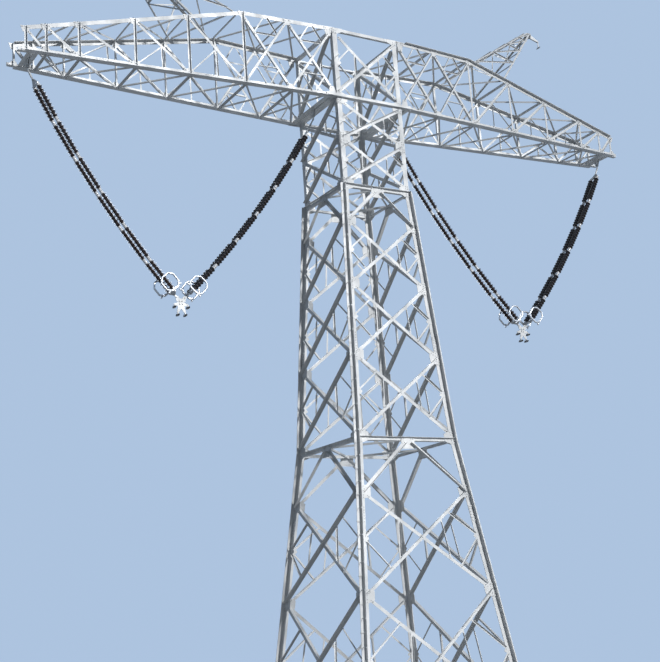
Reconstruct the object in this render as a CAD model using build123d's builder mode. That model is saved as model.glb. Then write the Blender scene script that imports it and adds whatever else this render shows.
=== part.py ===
from build123d import *
import os
from math import cos, hypot, radians, sin, sqrt

# Lattice transmission pylon with one long box-truss crossarm and two V insulator sets.
# Millimetres. +X along the crossarm, +Y along the line, +Z up.
# The origin is on the ground in the middle between the four feet.

# Tower body, measured along the height
UPPER_PANELS = (1500.0, 1680.0)  # two crossed panels below the crossarm, upright
MIDDLE_PANELS = (1360.0, 2280.0, 2490.0, 2750.0)  # inverted V, then crossed panels
LOWER_PANELS = (1820.0, 3230.0, 4350.0)  # inverted V, then crossed panels
BASE_PANEL = 3740.0  # leg extension down to the feet
BODY_HALF_WIDTH = 1350.0  # outside of the leg angles at the crossarm
MIDDLE_BATTER = 0.062  # inward slope of a leg in each face
LOWER_BATTER = 0.121

# Crossarm
ARM_DEPTH = 2680.0  # between the outer faces of the chords
ARM_BAYS = (1750.0, 1700.0, 1990.0, 1850.0, 1850.0, 1050.0, 640.0)
KINK_BAY = 2  # the top chord is level over this many bays
TIP_DEPTH = 860.0
TIP_HALF_WIDTH = 640.0
CHORD_NOSE = 240.0  # the bottom chord runs past the tip

# Rolled angles and plates
LEG_FLANGE = 180.0
LEG_WALL = 16.0
OUTER_LEG_FLANGE = 140.0  # of the second angle, heel to heel with the first below the waist
OUTER_LEG_WALL = 14.0
OUTER_LEG_LAP = 6.0  # of the two heels in each other
CHORD_FLANGE = 140.0
CHORD_WALL = 12.0
BRACE_FLANGE = 112.0
BRACE_WALL = 8.0
ARM_BRACE_FLANGE = 80.0
ARM_BRACE_WALL = 8.0
PLAN_BRACE_FLANGE = 70.0
PLAN_BRACE_WALL = 7.0
GUSSET_WALL = 12.0
GUSSET_HEIGHT = 440.0
GUSSET_REACH = 405.0
GUSSET_NOSE = 260.0
CENTRE_PLATE_WIDTH = 520.0
CENTRE_PLATE_DEPTH = 330.0
END_GAP = 15.0  # between a brace's end and the piece beside it
SEAT_GAP = 0.3  # between a loose piece and its seat
PLAN_BRACE_LAP = 10.0  # of a plan brace's centre line on the chord's flat flange
PLATE_GAP = 5.0  # between a bend in the legs and the plates beside it
SECTION_GAP = 90.0  # from a bend in the legs to the nearest brace ends
ARM_NODE_GAP = 210.0  # from a crossarm chord's outer face to the centre panel's brace ends
ARM_GUSSET_WIDTH = 330.0
ARM_GUSSET_HEIGHT = 230.0
ROOT_GUSSET_HEIGHT = 380.0  # where the arm meets the legs

# Feet
SHOE_SIDE = 560.0
SHOE_WALL = 32.0
SHOE_RIB_HEIGHT = 420.0
SHOE_NODE_LEVEL = 290.0  # where the base bracing meets the ribs
SHOE_NOSE = 170.0
ANCHOR_SPACING = 400.0
ANCHOR_HOLE_RADIUS = 24.0

# Ground-wire peaks
PEAK_TIP_X = 8950.0
PEAK_TIP_RISE = 5130.0  # above the bottom chord
PEAK_TOP_WIDTH = 200.0
PEAK_LEG_FLANGE = 90.0
PEAK_LEG_WALL = 8.0
PEAK_BRACE_FLANGE = 50.0
PEAK_BRACE_WALL = 5.0
PEAK_PANELS = 4
PEAK_FIRST_NODE = 0.06  # share of the height
PEAK_LAST_NODE = 0.97
PEAK_PANEL_TAPER = 1.35  # how fast the panels shorten towards the tip
PEAK_SEAT_INSET = 30.0
PEAK_LEG_EXTRA = 1.15  # the legs are made longer, then cut at the chords
BRACKET_REACH = 430.0  # from the peak to the ground-wire pin
BRACKET_DROP = 252.0
BRACKET_ROOT_HEIGHT = 160.0
BRACKET_NOSE = 30.0
BRACKET_WALL = 12.0
WIRE_PIN_RADIUS = 10.0
WIRE_LINK_WIDTH = 44.0
WIRE_LINK_WALL = 18.0
WIRE_CLAMP_DROP = 260.0
WIRE_CLAMP_RADIUS = 24.0
WIRE_CLAMP_END_RADIUS = 15.0
GROUND_WIRE_RADIUS = 9.0

# Hangers and hinges of the insulator sets
HINGE_DROP = 200.0  # hinge axis below the bottom chord
INNER_HANGER_REACH = 210.0  # of the inner hangers, from the body's side
OUTER_HANGER_INSET = 260.0  # of the outer hangers, from the arm's tip
HINGE_PIN_RADIUS = 17.0
HINGE_CLEARANCE = 0.5  # radial
PIN_END = 8.0  # past the plates that hold a pin
LUG_WALL = 20.0
LUG_GAP = 34.0  # between the two lugs of a hanger
LUG_ROOT_WIDTH = 270.0
LUG_LAP = 120.0  # on the beam's upright flange
EYE_WALL = 22.0
EYE_RADIUS = 45.0
EYE_SHANK = 108.0  # hinge axis to the start of the string
BEAM_FLANGE = 140.0
BEAM_WALL = 12.0

# Strings
YOKE_X = 7000.0
YOKE_HALF_SPREAD = 150.0
STRING_BOW = 7.5  # degrees between a string's upper end and its straight line
STRING_HALF_SPACING = 165.0
STRING_UNITS = 6
UNIT_LENGTH = 1300.0
UNIT_RADIUS = 88.0
BARREL_SIDES = 8
CAP_LENGTH = 105.0
CAP_RADIUS = 42.0
CAP_GAP = 0.9  # allows for the turn between two units
SPACER_RADIUS = 62.0
SPACER_WALL = 24.0
OUTER_TOP_LINK = 538.0
LOWER_LINK = 200.0
LINK_RADIUS = 25.0
LINK_LAP = 30.0  # of a link on what it joins
TOP_SPREADER_DEPTH = 210.0
SPREADER_MARGIN = 60.0  # outside each string's axis
SPREADER_BACK = 45.0
SPREADER_LIP = 25.0
SPREADER_NOSE = 90.0
STRAP_LENGTH = 140.0
STRAP_WIDTH = 56.0
STRAP_WALL = 12.0
RING_SIDE = 600.0
RING_CORNER = 150.0
RING_BAR = 50.0
RING_BAR_PLACE = 240.0  # of the bar across the ring, from its middle
RING_OFFSET = 115.0  # beyond the string's axis
RING_STUB = 75.0  # from the string's last joint to the bar that holds the ring

# Yoke and clamps
YOKE_WALL = 18.0
V_PLATE_EAR = 42.0
V_PLATE_DEPTH = 120.0
V_PLATE_HOLLOW = 80.0
LINK_DROP = 95.0  # from the V plate to the bundle plate's hub
YOKE_LINK_WIDTH = 36.0
BUNDLE_HUB_RADIUS = 90.0
BUNDLE_END_RADIUS = 30.0
CLAMP_STRAP = 85.0  # from a clamp's bore to its hanging point
CLAMP_STRAP_WIDTH = 34.0
CLAMP_STRAP_WALL = 8.0
CLAMP_HALF_SPREAD_UPPER = 235.0
CLAMP_HALF_SPREAD_LOWER = 130.0
CLAMP_UPPER_DROP = 330.0  # below the V plate's holes
CLAMP_LOWER_DROP = 590.0
CLAMP_LENGTH = 230.0
CLAMP_BORE_RADIUS = 18.0
CLAMP_RADIUS = 38.0
CLAMP_END_RADIUS = 26.0
CLAMP_SIDES = 8

# Levels and half-widths that follow
BODY_HEIGHT = sum(UPPER_PANELS) + sum(MIDDLE_PANELS) + sum(LOWER_PANELS) + BASE_PANEL
WAIST_LEVEL = BODY_HEIGHT - sum(UPPER_PANELS)
KNEE_LEVEL = WAIST_LEVEL - sum(MIDDLE_PANELS)
BASE_LEVEL = KNEE_LEVEL - sum(LOWER_PANELS)
ARM_TOP = BODY_HEIGHT + ARM_DEPTH
TIP_X = BODY_HALF_WIDTH + sum(ARM_BAYS)
HINGE_LEVEL = BODY_HEIGHT - HINGE_DROP
INNER_HANGER_X = BODY_HALF_WIDTH + INNER_HANGER_REACH
OUTER_HANGER_X = TIP_X - OUTER_HANGER_INSET


QUARTER_TURNS = {"front": 0, "right": 90, "rear": 180, "left": 270}


def half_width(level):
    """Distance of the leg's outer faces from the tower's axis."""
    middle = min(max(WAIST_LEVEL - level, 0.0), WAIST_LEVEL - KNEE_LEVEL)
    lower = max(KNEE_LEVEL - level, 0.0)
    return BODY_HALF_WIDTH + MIDDLE_BATTER * middle + LOWER_BATTER * lower


def arm_half_width(x):
    """Distance of the crossarm's outer faces from its middle plane."""
    share = (x - BODY_HALF_WIDTH) / (TIP_X - BODY_HALF_WIDTH)
    return BODY_HALF_WIDTH + (TIP_HALF_WIDTH - BODY_HALF_WIDTH) * share


def arm_node(count):
    """Distance along X of a crossarm node, counted outwards from the leg."""
    return BODY_HALF_WIDTH + sum(ARM_BAYS[:count])


def top_rise(x):
    """Height of the top chord above the bottom chord."""
    kink = arm_node(KINK_BAY)
    return ARM_DEPTH - max(x - kink, 0.0) * (ARM_DEPTH - TIP_DEPTH) / (TIP_X - kink)


def angle_bar(face, start, end, flange, wall, level=0.0, outward=True, turned=False):
    """Angle lying on a face: its flat flange rests at a level above or below that face."""
    first = face.from_local_coords(Vector(start[0], start[1], level))
    last = face.from_local_coords(Vector(end[0], end[1], level))
    run = last - first
    normal = face.z_dir if outward else -face.z_dir
    across = normal.cross(run).normalized()
    edge = -flange / 2 if turned else flange / 2
    inner = edge + wall if turned else edge - wall
    with BuildPart() as bar:
        with BuildSketch(Plane(origin=first, x_dir=across, z_dir=run)):
            with BuildLine():
                Polyline(
                    (-edge, 0), (edge, 0), (edge, flange), (inner, flange),
                    (inner, wall), (-edge, wall), close=True,
                )
            make_face()
        extrude(amount=run.length)
    return bar.part


def plate(face, outline, wall, level=0.0):
    """Flat plate with a polygon outline, standing outwards from a level of a face."""
    with BuildPart() as sheet:
        with BuildSketch(face.offset(level)):
            with BuildLine():
                Polyline(*outline, close=True)
            make_face()
        extrude(amount=wall)
    return sheet.part


def skewed_angle(section_plane, heel, flange, wall, across, along, run):
    """Angle whose section stays parallel to a plane while it runs in any direction."""
    x, y = heel
    with BuildPart() as bar:
        with BuildSketch(section_plane):
            with BuildLine():
                Polyline(
                    (x, y), (x + across * flange, y), (x + across * flange, y + along * wall),
                    (x + across * wall, y + along * wall), (x + across * wall, y + along * flange),
                    (x, y + along * flange), close=True,
                )
            make_face()
        extrude(amount=run.length, dir=run.normalized())
    return bar.part


def body_face(level, batter):
    """Front face of a body section, with its own up direction and outward normal."""
    return Plane(
        origin=(0, -half_width(level), level), x_dir=(1, 0, 0), z_dir=(0, -1, batter),
    )


def on_body(face, batter, x, level):
    """Point of a battered front face in that face's own coordinates."""
    return (x, (level - face.origin.Z) * sqrt(1 + batter**2))


def shortened(start, end, at_start, at_end):
    """The two ends of a bar after a length is taken off each."""
    run = hypot(end[0] - start[0], end[1] - start[1])
    ux, uy = (end[0] - start[0]) / run, (end[1] - start[1]) / run
    return (
        (start[0] + ux * at_start, start[1] + uy * at_start),
        (end[0] - ux * at_end, end[1] - uy * at_end),
    )


def flange_setback(start, end, lean):
    """Length to take off a brace inside the face so that it clears the leg's leaning flange."""
    run = hypot(end[0] - start[0], end[1] - start[1])
    flat, rise = abs(end[0] - start[0]) / run, abs(end[1] - start[1]) / run
    edge = LEG_FLANGE / 2 + END_GAP + (rise + lean * flat) * BRACE_FLANGE / 2
    return edge / (flat - lean * rise)


def leg_gusset(face, batter, level, side, above=True, below=True):
    """Plate on a leg's outer face where braces meet it."""
    top = GUSSET_HEIGHT / 2 if above else -PLATE_GAP
    bottom = -GUSSET_HEIGHT / 2 if below else PLATE_GAP
    nose = GUSSET_NOSE / 2
    corners = (
        (END_GAP, top), (LEG_FLANGE, top), (GUSSET_REACH, min(nose, top)),
        (GUSSET_REACH, max(-nose, bottom)), (LEG_FLANGE, bottom), (END_GAP, bottom),
    )
    outline = []
    for inset, rise in corners:
        x = side * (half_width_on(face, batter, level + rise) - inset)
        outline.append(on_body(face, batter, x, level + rise))
    if side > 0:
        outline.reverse()
    return plate(face, outline, GUSSET_WALL)


def half_width_on(face, batter, level):
    """Half-width of a section's face, also a little past that section's ends."""
    return -face.origin.Y + batter * (face.origin.Z - level)


def crossed_panel(face, batter, top, bottom):
    """Two crossing angles, one outside and one inside the gussets, packed apart."""
    inset = LEG_FLANGE / 2
    upper = half_width_on(face, batter, top) - inset
    lower = half_width_on(face, batter, bottom) - inset
    corner = {
        "upper left": on_body(face, batter, -upper, top),
        "upper right": on_body(face, batter, upper, top),
        "lower left": on_body(face, batter, -lower, bottom),
        "lower right": on_body(face, batter, lower, bottom),
    }
    rising = corner["lower right"], corner["upper left"]
    outer = shortened(corner["lower left"], corner["upper right"], END_GAP, END_GAP)
    inner = shortened(*rising, flange_setback(*rising, batter), flange_setback(*rising, -batter))
    share = upper / (upper + lower)
    height = corner["upper left"][1] * (1 - share) + corner["lower left"][1] * share
    half = BRACE_FLANGE / 2
    packer = [(-half, height - half), (half, height - half), (half, height + half), (-half, height + half)]
    return [
        angle_bar(face, *outer, BRACE_FLANGE, BRACE_WALL, GUSSET_WALL),
        angle_bar(face, *inner, BRACE_FLANGE, BRACE_WALL, 0.0, outward=False),
        plate(face, packer, GUSSET_WALL),
    ]


def face_rail(face, batter, level):
    """Horizontal angle across a face, inside the gussets."""
    reach = half_width_on(face, batter, level) - LEG_FLANGE - END_GAP - batter * BRACE_FLANGE / 2
    start = on_body(face, batter, -reach, level)
    end = on_body(face, batter, reach, level)
    return angle_bar(face, start, end, BRACE_FLANGE, BRACE_WALL, 0.0, outward=False)


def centre_plate(face, batter, level):
    """Plate that hangs from the middle of a rail and holds the inverted V."""
    half, low, high = CENTRE_PLATE_WIDTH / 2, level - CENTRE_PLATE_DEPTH, level + BRACE_FLANGE / 2
    corners = ((-half, low), (half, low), (half, high), (-half, high))
    return plate(face, [on_body(face, batter, x, z) for x, z in corners], GUSSET_WALL)


def inverted_v(face, batter, top, bottom):
    """Two angles from the middle of a rail down to the legs."""
    apex = on_body(face, batter, 0.0, top)
    bars = []
    for side in (-1, 1):
        foot = on_body(face, batter, side * (half_width_on(face, batter, bottom) - LEG_FLANGE / 2), bottom)
        start, end = shortened(apex, foot, CENTRE_PLATE_DEPTH / 2, END_GAP)
        bars.append(angle_bar(face, start, end, BRACE_FLANGE, BRACE_WALL, GUSSET_WALL, turned=side > 0))
    return bars


def body_section(top, panels, batter, gaps, rails, v_first=False, cut=(True, True)):
    """Everything on the front face of one body section, as loose pieces to be joined."""
    face = body_face(top, batter)
    ends = [top - sum(panels[:count]) for count in range(len(panels) + 1)]
    levels = [top - gaps[0]] + ends[1:-1] + [ends[-1] + gaps[1]]
    pieces = [face_rail(face, batter, level) for level in rails]
    for count in range(len(panels)):
        if v_first and count == 0:
            pieces.append(centre_plate(face, batter, rails[0]))
            pieces += inverted_v(face, batter, rails[0], levels[1])
        else:
            pieces += crossed_panel(face, batter, levels[count], levels[count + 1])
    for side in (-1, 1):
        for count, level in enumerate(ends):
            above = count > 0 or not cut[0]
            below = count < len(ends) - 1 or not cut[1]
            pieces.append(leg_gusset(face, batter, level, side, above, below))
    return pieces


def around_body(pieces):
    """The four faces of a section: the front face's pieces joined and turned."""
    with BuildPart() as face_part:
        add(pieces)
    with BuildPart() as faces:
        for turn in QUARTER_TURNS.values():
            add(face_part.part, rotation=(0, 0, turn))
    return faces.part


def turned_part(pieces, turn):
    """Pieces joined and turned about the tower's axis."""
    with BuildPart() as joined:
        add(pieces, rotation=(0, 0, turn))
    return joined.part


def save(part, name):
    """Label a finished node and write it."""
    part.label = name
    export_step(part, f"parts/{name}.step")
    print(name, len(part.solids()), "solids", round(part.volume / 1e9, 5), "m3")


os.makedirs("parts", exist_ok=True)

# Legs: one bent angle each, from the shoe up through the crossarm
bends = (ARM_TOP, WAIST_LEVEL, KNEE_LEVEL, SHOE_WALL)
leg_runs = []
for upper_end, lower_end in zip(bends[:-1], bends[1:]):
    heel = half_width(upper_end)
    shift = half_width(lower_end) - heel
    leg_run = Vector(-shift, -shift, lower_end - upper_end)
    section = Plane.XY.offset(upper_end)
    leg_runs.append(skewed_angle(section, (-heel, -heel), LEG_FLANGE, LEG_WALL, 1, 1, leg_run))
    if upper_end <= WAIST_LEVEL:
        outer_heel = OUTER_LEG_LAP - heel
        leg_runs.append(skewed_angle(
            section, (outer_heel, outer_heel), OUTER_LEG_FLANGE, OUTER_LEG_WALL, -1, -1, leg_run,
        ))
LEG_NAMES = {"front_left_leg": 0, "front_right_leg": 90, "rear_right_leg": 180, "rear_left_leg": 270}
for name, turn in LEG_NAMES.items():
    save(turned_part(leg_runs, turn), name)

# Body bracing: one node for the four short upright faces, one for each long face
rail_drop = BRACE_FLANGE / 2 + END_GAP
save(around_body(body_section(
    ARM_TOP, (ARM_DEPTH,), 0.0, (ARM_NODE_GAP, ARM_NODE_GAP),
    (ARM_TOP - rail_drop, BODY_HEIGHT + rail_drop),
)), "centre_bracing")
save(around_body(body_section(
    BODY_HEIGHT, UPPER_PANELS, 0.0, (SECTION_GAP, SECTION_GAP), (),
)), "upper_bracing")
middle_face = body_section(
    WAIST_LEVEL, MIDDLE_PANELS, MIDDLE_BATTER, (SECTION_GAP, SECTION_GAP),
    (WAIST_LEVEL - rail_drop,), v_first=True,
)
lower_face = body_section(
    KNEE_LEVEL, LOWER_PANELS, LOWER_BATTER, (SECTION_GAP, SECTION_GAP),
    (KNEE_LEVEL - rail_drop, BASE_LEVEL - rail_drop), v_first=True, cut=(True, False),
)
lower_face.append(centre_plate(body_face(KNEE_LEVEL, LOWER_BATTER), LOWER_BATTER, BASE_LEVEL - rail_drop))
for side, turn in QUARTER_TURNS.items():
    save(turned_part(middle_face, turn), f"{side}_middle_bracing")
    save(turned_part(lower_face, turn), f"{side}_lower_bracing")

# Leg extension: an inverted V on each face, from the rail's plate to the shoe's ribs
base_face = body_face(KNEE_LEVEL, LOWER_BATTER)
base_bars = inverted_v(base_face, LOWER_BATTER, BASE_LEVEL - rail_drop, SHOE_NODE_LEVEL)
save(around_body(base_bars), "base_bracing")

# Shoes: base plate with four anchor holes, and ribs against the leg's outer faces
foot_centre = half_width(SHOE_WALL) - LEG_FLANGE / 2
with BuildPart() as shoe_plate:
    with BuildSketch(Plane.XY):
        with Locations((-foot_centre, -foot_centre)):
            Rectangle(SHOE_SIDE, SHOE_SIDE)
            with GridLocations(ANCHOR_SPACING, ANCHOR_SPACING, 2, 2):
                Circle(ANCHOR_HOLE_RADIUS, mode=Mode.SUBTRACT)
    extrude(amount=SHOE_WALL)

rib_corners = (
    (END_GAP, SHOE_WALL / 2), (END_GAP, SHOE_RIB_HEIGHT), (LEG_FLANGE, SHOE_RIB_HEIGHT),
    (GUSSET_REACH, SHOE_NODE_LEVEL + SHOE_NOSE / 2), (GUSSET_REACH, SHOE_NODE_LEVEL - SHOE_NOSE / 2),
    (LEG_FLANGE, SHOE_WALL / 2),
)
rib = plate(
    base_face,
    [on_body(base_face, LOWER_BATTER, inset - half_width(level), level) for inset, level in rib_corners],
    GUSSET_WALL,
)
with BuildPart() as shoe:
    add([shoe_plate.part, rib])
    mirror(rib, about=Plane(origin=(0, 0, 0), z_dir=(1, -1, 0)))
with BuildPart() as shoes:
    for turn in QUARTER_TURNS.values():
        add(shoe.part, rotation=(0, 0, turn))
save(shoes.part, "leg_shoes")


# Plan bracing: a diamond of angles seated on the rails' flat flanges
def diamond(level, batter):
    """Four loose angles that join the middles of the rails at one level."""
    inner = half_width(level) - BRACE_WALL - END_GAP
    start, end = shortened((0.0, -inner), (inner, 0.0), PLAN_BRACE_FLANGE, PLAN_BRACE_FLANGE)
    corner_inset = half_width(level) + start[1] - PLAN_BRACE_FLANGE / 2 * sqrt(0.5)
    flange_top = level - (BRACE_FLANGE / 2 - BRACE_WALL) * sqrt(1 + batter**2) - batter * corner_inset
    seat = Plane.XY.offset(flange_top + SEAT_GAP)
    with BuildPart() as bars:
        for turn in QUARTER_TURNS.values():
            add(angle_bar(seat, start, end, PLAN_BRACE_FLANGE, PLAN_BRACE_WALL), rotation=(0, 0, turn))
    return bars.part


save(diamond(WAIST_LEVEL - rail_drop, MIDDLE_BATTER), "waist_diaphragm")
save(diamond(KNEE_LEVEL - rail_drop, LOWER_BATTER), "knee_diaphragm")
save(diamond(BASE_LEVEL - rail_drop, LOWER_BATTER), "base_diaphragm")

# Crossarm faces of the right-hand arm
arm_run = TIP_X - BODY_HALF_WIDTH
arm_taper = BODY_HALF_WIDTH - TIP_HALF_WIDTH
arm_stretch = hypot(arm_run, arm_taper) / arm_run
arm_face = Plane(
    origin=(BODY_HALF_WIDTH, -BODY_HALF_WIDTH, BODY_HEIGHT),
    x_dir=(arm_run, arm_taper, 0), z_dir=(arm_taper, -arm_run, 0),
)
chord_inside = CHORD_WALL / arm_stretch  # perpendicular to the tapered face
kink_x = arm_node(KINK_BAY)
arm_start = BODY_HALF_WIDTH + GUSSET_WALL
stations = [(arm_node(count) - BODY_HALF_WIDTH) * arm_stretch for count in range(len(ARM_BAYS) + 1)]


def chord_nodes(count):
    """Brace nodes on the bottom and the top chord, in the arm face's own coordinates."""
    rise = top_rise(arm_node(count))
    return (stations[count], CHORD_FLANGE / 2), (stations[count], rise - CHORD_FLANGE / 2)


def clear_of_upright(start, end, gap):
    """Length to take off a bar so that it stops a gap short of a node's upright line."""
    run = hypot(end[0] - start[0], end[1] - start[1])
    flat, rise = abs(end[0] - start[0]) / run, abs(end[1] - start[1]) / run
    return (gap + rise * ARM_BRACE_FLANGE / 2) / flat


def arm_brace(start, end, outside, gaps):
    """Angle of the arm's truss, on the gussets or on the chords' inner faces."""
    start, end = shortened(start, end, *gaps)
    level = GUSSET_WALL if outside else -chord_inside
    return angle_bar(arm_face, start, end, ARM_BRACE_FLANGE, ARM_BRACE_WALL, level, outward=outside)


def arm_gusset(node, down, height=ARM_GUSSET_HEIGHT):
    """Small plate on the outer face of a chord at a node."""
    x, y = node
    near, far = -CHORD_FLANGE / 2 + END_GAP, height - CHORD_FLANGE / 2
    sign = -1 if down else 1
    low, high = (y + sign * near, y + sign * far)
    half, nose = ARM_GUSSET_WIDTH / 2, ARM_GUSSET_WIDTH / 4
    outline = [(x - half, low), (x + half, low), (x + nose, high), (x - nose, high)]
    return plate(arm_face, outline if sign > 0 else outline[::-1], GUSSET_WALL)


def square_at(x, y, side):
    """Corners of a square packer plate around a crossing."""
    half = side / 2
    return [(x - half, y - half), (x + half, y - half), (x + half, y + half), (x - half, y + half)]


chords = [
    skewed_angle(
        Plane.YZ.offset(arm_start), (-arm_half_width(arm_start), BODY_HEIGHT), CHORD_FLANGE, CHORD_WALL, 1, 1,
        Vector(1, arm_taper / arm_run, 0) * (TIP_X + CHORD_NOSE - arm_start),
    ),
    skewed_angle(
        Plane.YZ.offset(arm_start), (-arm_half_width(arm_start), ARM_TOP), CHORD_FLANGE, CHORD_WALL, 1, -1,
        Vector(1, arm_taper / arm_run, 0) * (kink_x - arm_start),
    ),
    skewed_angle(
        Plane.YZ.offset(kink_x), (-arm_half_width(kink_x), ARM_TOP), CHORD_FLANGE, CHORD_WALL, 1, -1,
        Vector(1, arm_taper / arm_run, (TIP_DEPTH - ARM_DEPTH) / (TIP_X - kink_x)) * (TIP_X - kink_x),
    ),
]
upright_gap = ARM_BRACE_FLANGE / 2 + END_GAP
root_gap = GUSSET_WALL + BRACE_FLANGE + END_GAP
foot_lap = CHORD_FLANGE / 2 - CHORD_WALL - END_GAP


def arm_truss(rising_outside):
    """One side of the right-hand arm, with its rising braces outside or inside the gussets."""
    pieces = list(chords)
    for count in range(len(ARM_BAYS)):
        inner_bottom, inner_top = chord_nodes(count)
        outer_bottom, outer_top = chord_nodes(count + 1)
        if count < KINK_BAY:
            near = root_gap if count == 0 else upright_gap
            for start, end, outside in (
                (inner_bottom, outer_top, rising_outside), (inner_top, outer_bottom, not rising_outside),
            ):
                gaps = clear_of_upright(start, end, near), clear_of_upright(start, end, upright_gap)
                pieces.append(arm_brace(start, end, outside, gaps))
            crossing = ((inner_bottom[0] + outer_top[0]) / 2, (inner_bottom[1] + outer_top[1]) / 2)
            pieces.append(plate(
                arm_face, square_at(*crossing, ARM_BRACE_FLANGE), GUSSET_WALL + chord_inside, -chord_inside,
            ))
        else:
            pieces.append(arm_brace(outer_top, inner_bottom, rising_outside, (END_GAP, END_GAP)))
        if count + 1 >= KINK_BAY:
            pieces.append(arm_brace(outer_bottom, outer_top, not rising_outside, (-foot_lap, -foot_lap)))
        pieces += [arm_gusset(outer_bottom, False), arm_gusset(outer_top, True)]
    root_bottom, root_top = chord_nodes(0)
    for node, down in ((root_bottom, False), (root_top, True)):
        middle = node[0] + ARM_GUSSET_WIDTH / 2 + GUSSET_WALL
        pieces.append(arm_gusset((middle, node[1]), down, ROOT_GUSSET_HEIGHT))
    with BuildPart() as truss:
        add(pieces)
    return truss.part


right_front_truss = arm_truss(True)
left_front_truss = mirror(arm_truss(False), about=Plane.YZ)

under_arm = Plane(origin=(0, 0, BODY_HEIGHT), x_dir=(1, 0, 0), z_dir=(0, 0, -1))
over_arm = Plane(origin=(0, 0, ARM_TOP), x_dir=(1, 0, 0), z_dir=(0, 0, 1))
slope_run, slope_drop = TIP_X - kink_x, ARM_DEPTH - TIP_DEPTH
over_slope = Plane(
    origin=(kink_x, 0, ARM_TOP), x_dir=(slope_run, 0, -slope_drop), z_dir=(slope_drop, 0, slope_run),
)
slope_stretch = hypot(slope_run, slope_drop) / slope_run


def plan_point(face, x, y):
    """Point over a crossarm station in the own coordinates of a bottom or top plane."""
    if face is over_slope:
        return ((x - kink_x) * slope_stretch, y)
    return (x, y)


def plan_cross(face, near, far):
    """Two crossing plan braces of one bay, on both sides of the chords' flat flanges."""
    reach = CHORD_FLANGE - PLAN_BRACE_LAP
    a, b = arm_half_width(near) - reach, arm_half_width(far) - reach
    wall = CHORD_WALL / slope_stretch if face is over_slope else CHORD_WALL
    outer = plan_point(face, near, -a), plan_point(face, far, b)
    inner = plan_point(face, near, a), plan_point(face, far, -b)
    crossing = plan_point(face, near + (far - near) * a / (a + b), 0.0)
    return [
        angle_bar(face, *outer, PLAN_BRACE_FLANGE, PLAN_BRACE_WALL, 0.0),
        angle_bar(face, *inner, PLAN_BRACE_FLANGE, PLAN_BRACE_WALL, -wall, outward=False),
        plate(face, square_at(*crossing, PLAN_BRACE_FLANGE), wall, -wall),
    ]


def plan_strut(face, x):
    """Cross strut between the chords, on their outer side."""
    reach = arm_half_width(x) - CHORD_FLANGE / 2
    start, end = plan_point(face, x, -reach), plan_point(face, x, reach)
    return angle_bar(face, start, end, PLAN_BRACE_FLANGE, PLAN_BRACE_WALL, 0.0)


beam_half = LUG_GAP / 2 + LUG_WALL + BEAM_FLANGE  # of a hanger beam, along X
peak_inner_x = kink_x + 2 * PLAN_BRACE_FLANGE + PEAK_LEG_FLANGE
peak_outer_x = arm_node(KINK_BAY + 1) - PLAN_BRACE_FLANGE - PEAK_LEG_FLANGE
bay_gap = PLAN_BRACE_FLANGE + END_GAP
bottom_pieces, top_pieces = [], []
for count in range(1, len(ARM_BAYS)):
    bottom_pieces.append(plan_strut(under_arm, arm_node(count)))
    top_face = over_arm if count < KINK_BAY else over_slope
    past_kink = PLAN_BRACE_FLANGE if count == KINK_BAY else 0.0
    top_pieces.append(plan_strut(top_face, arm_node(count) + past_kink))
for count in range(len(ARM_BAYS) - 1):
    bottom_near, far = arm_node(count) + bay_gap, arm_node(count + 1) - bay_gap
    top_near, top_far = bottom_near, far
    if count == 0:
        bottom_near = INNER_HANGER_X + beam_half + bay_gap
        top_near = arm_start + 2 * bay_gap
    if count == KINK_BAY:
        top_near, top_far = peak_inner_x + PLAN_BRACE_FLANGE, peak_outer_x - PLAN_BRACE_FLANGE
    bottom_pieces += plan_cross(under_arm, bottom_near, far)
    top_pieces += plan_cross(over_arm if count < KINK_BAY else over_slope, top_near, top_far)


def disc(face, centre, radius, start, end):
    """Round bar or boss square to a face, between two levels of that face."""
    with BuildPart() as round_bar:
        with BuildSketch(face.offset(start)):
            with Locations(centre):
                Circle(radius)
        extrude(amount=end - start)
    return round_bar.part


def drilled(pieces, face, centre, radius, reach):
    """Pieces joined, with one round hole through all of them."""
    with BuildPart() as joined:
        add(pieces)
        with BuildSketch(face.offset(-reach)):
            with Locations(centre):
                Circle(radius)
        extrude(amount=2 * reach, mode=Mode.SUBTRACT)
    return joined.part


# Hanger beams: two angles back to back over the bottom chords, with lugs and a hinge pin
def hanger(x):
    """Beam across the arm with the two lugs and the pin that one V arm hangs from."""
    reach = arm_half_width(x) - CHORD_WALL - 2 * END_GAP
    seat = BODY_HEIGHT + CHORD_WALL
    lug_side = LUG_GAP / 2 + LUG_WALL
    across = Plane(origin=(x, 0, 0), x_dir=(0, 1, 0), z_dir=(1, 0, 0))
    pin_half = lug_side + BEAM_WALL + PIN_END
    pieces = [disc(across, (0, HINGE_LEVEL), HINGE_PIN_RADIUS, -pin_half, pin_half)]
    for sign in (-1, 1):
        pieces.append(skewed_angle(
            Plane.XZ.offset(reach), (x + sign * lug_side, seat), BEAM_FLANGE, BEAM_WALL, sign, 1,
            Vector(0, 2 * reach, 0),
        ))
        with BuildPart() as lug:
            with BuildSketch(across.offset(sign * LUG_GAP / 2)):
                with Locations((0, HINGE_LEVEL)):
                    Circle(EYE_RADIUS)
                with Locations((0, seat + LUG_LAP / 2)):
                    Rectangle(LUG_ROOT_WIDTH, LUG_LAP)
                make_hull()
            extrude(amount=sign * LUG_WALL)
        pieces.append(lug.part)
    with BuildPart() as beam:
        add(pieces)
    return beam.part


# Ground-wire peak on the sloping bay next to the kink
peak_top = BODY_HEIGHT + PEAK_TIP_RISE


def between(start, end, toward, flange, wall):
    """Angle between two points, its flat flange turned to a direction."""
    run = end - start
    normal = (toward - run * (toward.dot(run) / run.dot(run))).normalized()
    face = Plane(origin=start, x_dir=run.normalized(), z_dir=normal)
    return angle_bar(face, (0, 0), (run.length, 0), flange, wall, -wall)


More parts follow.
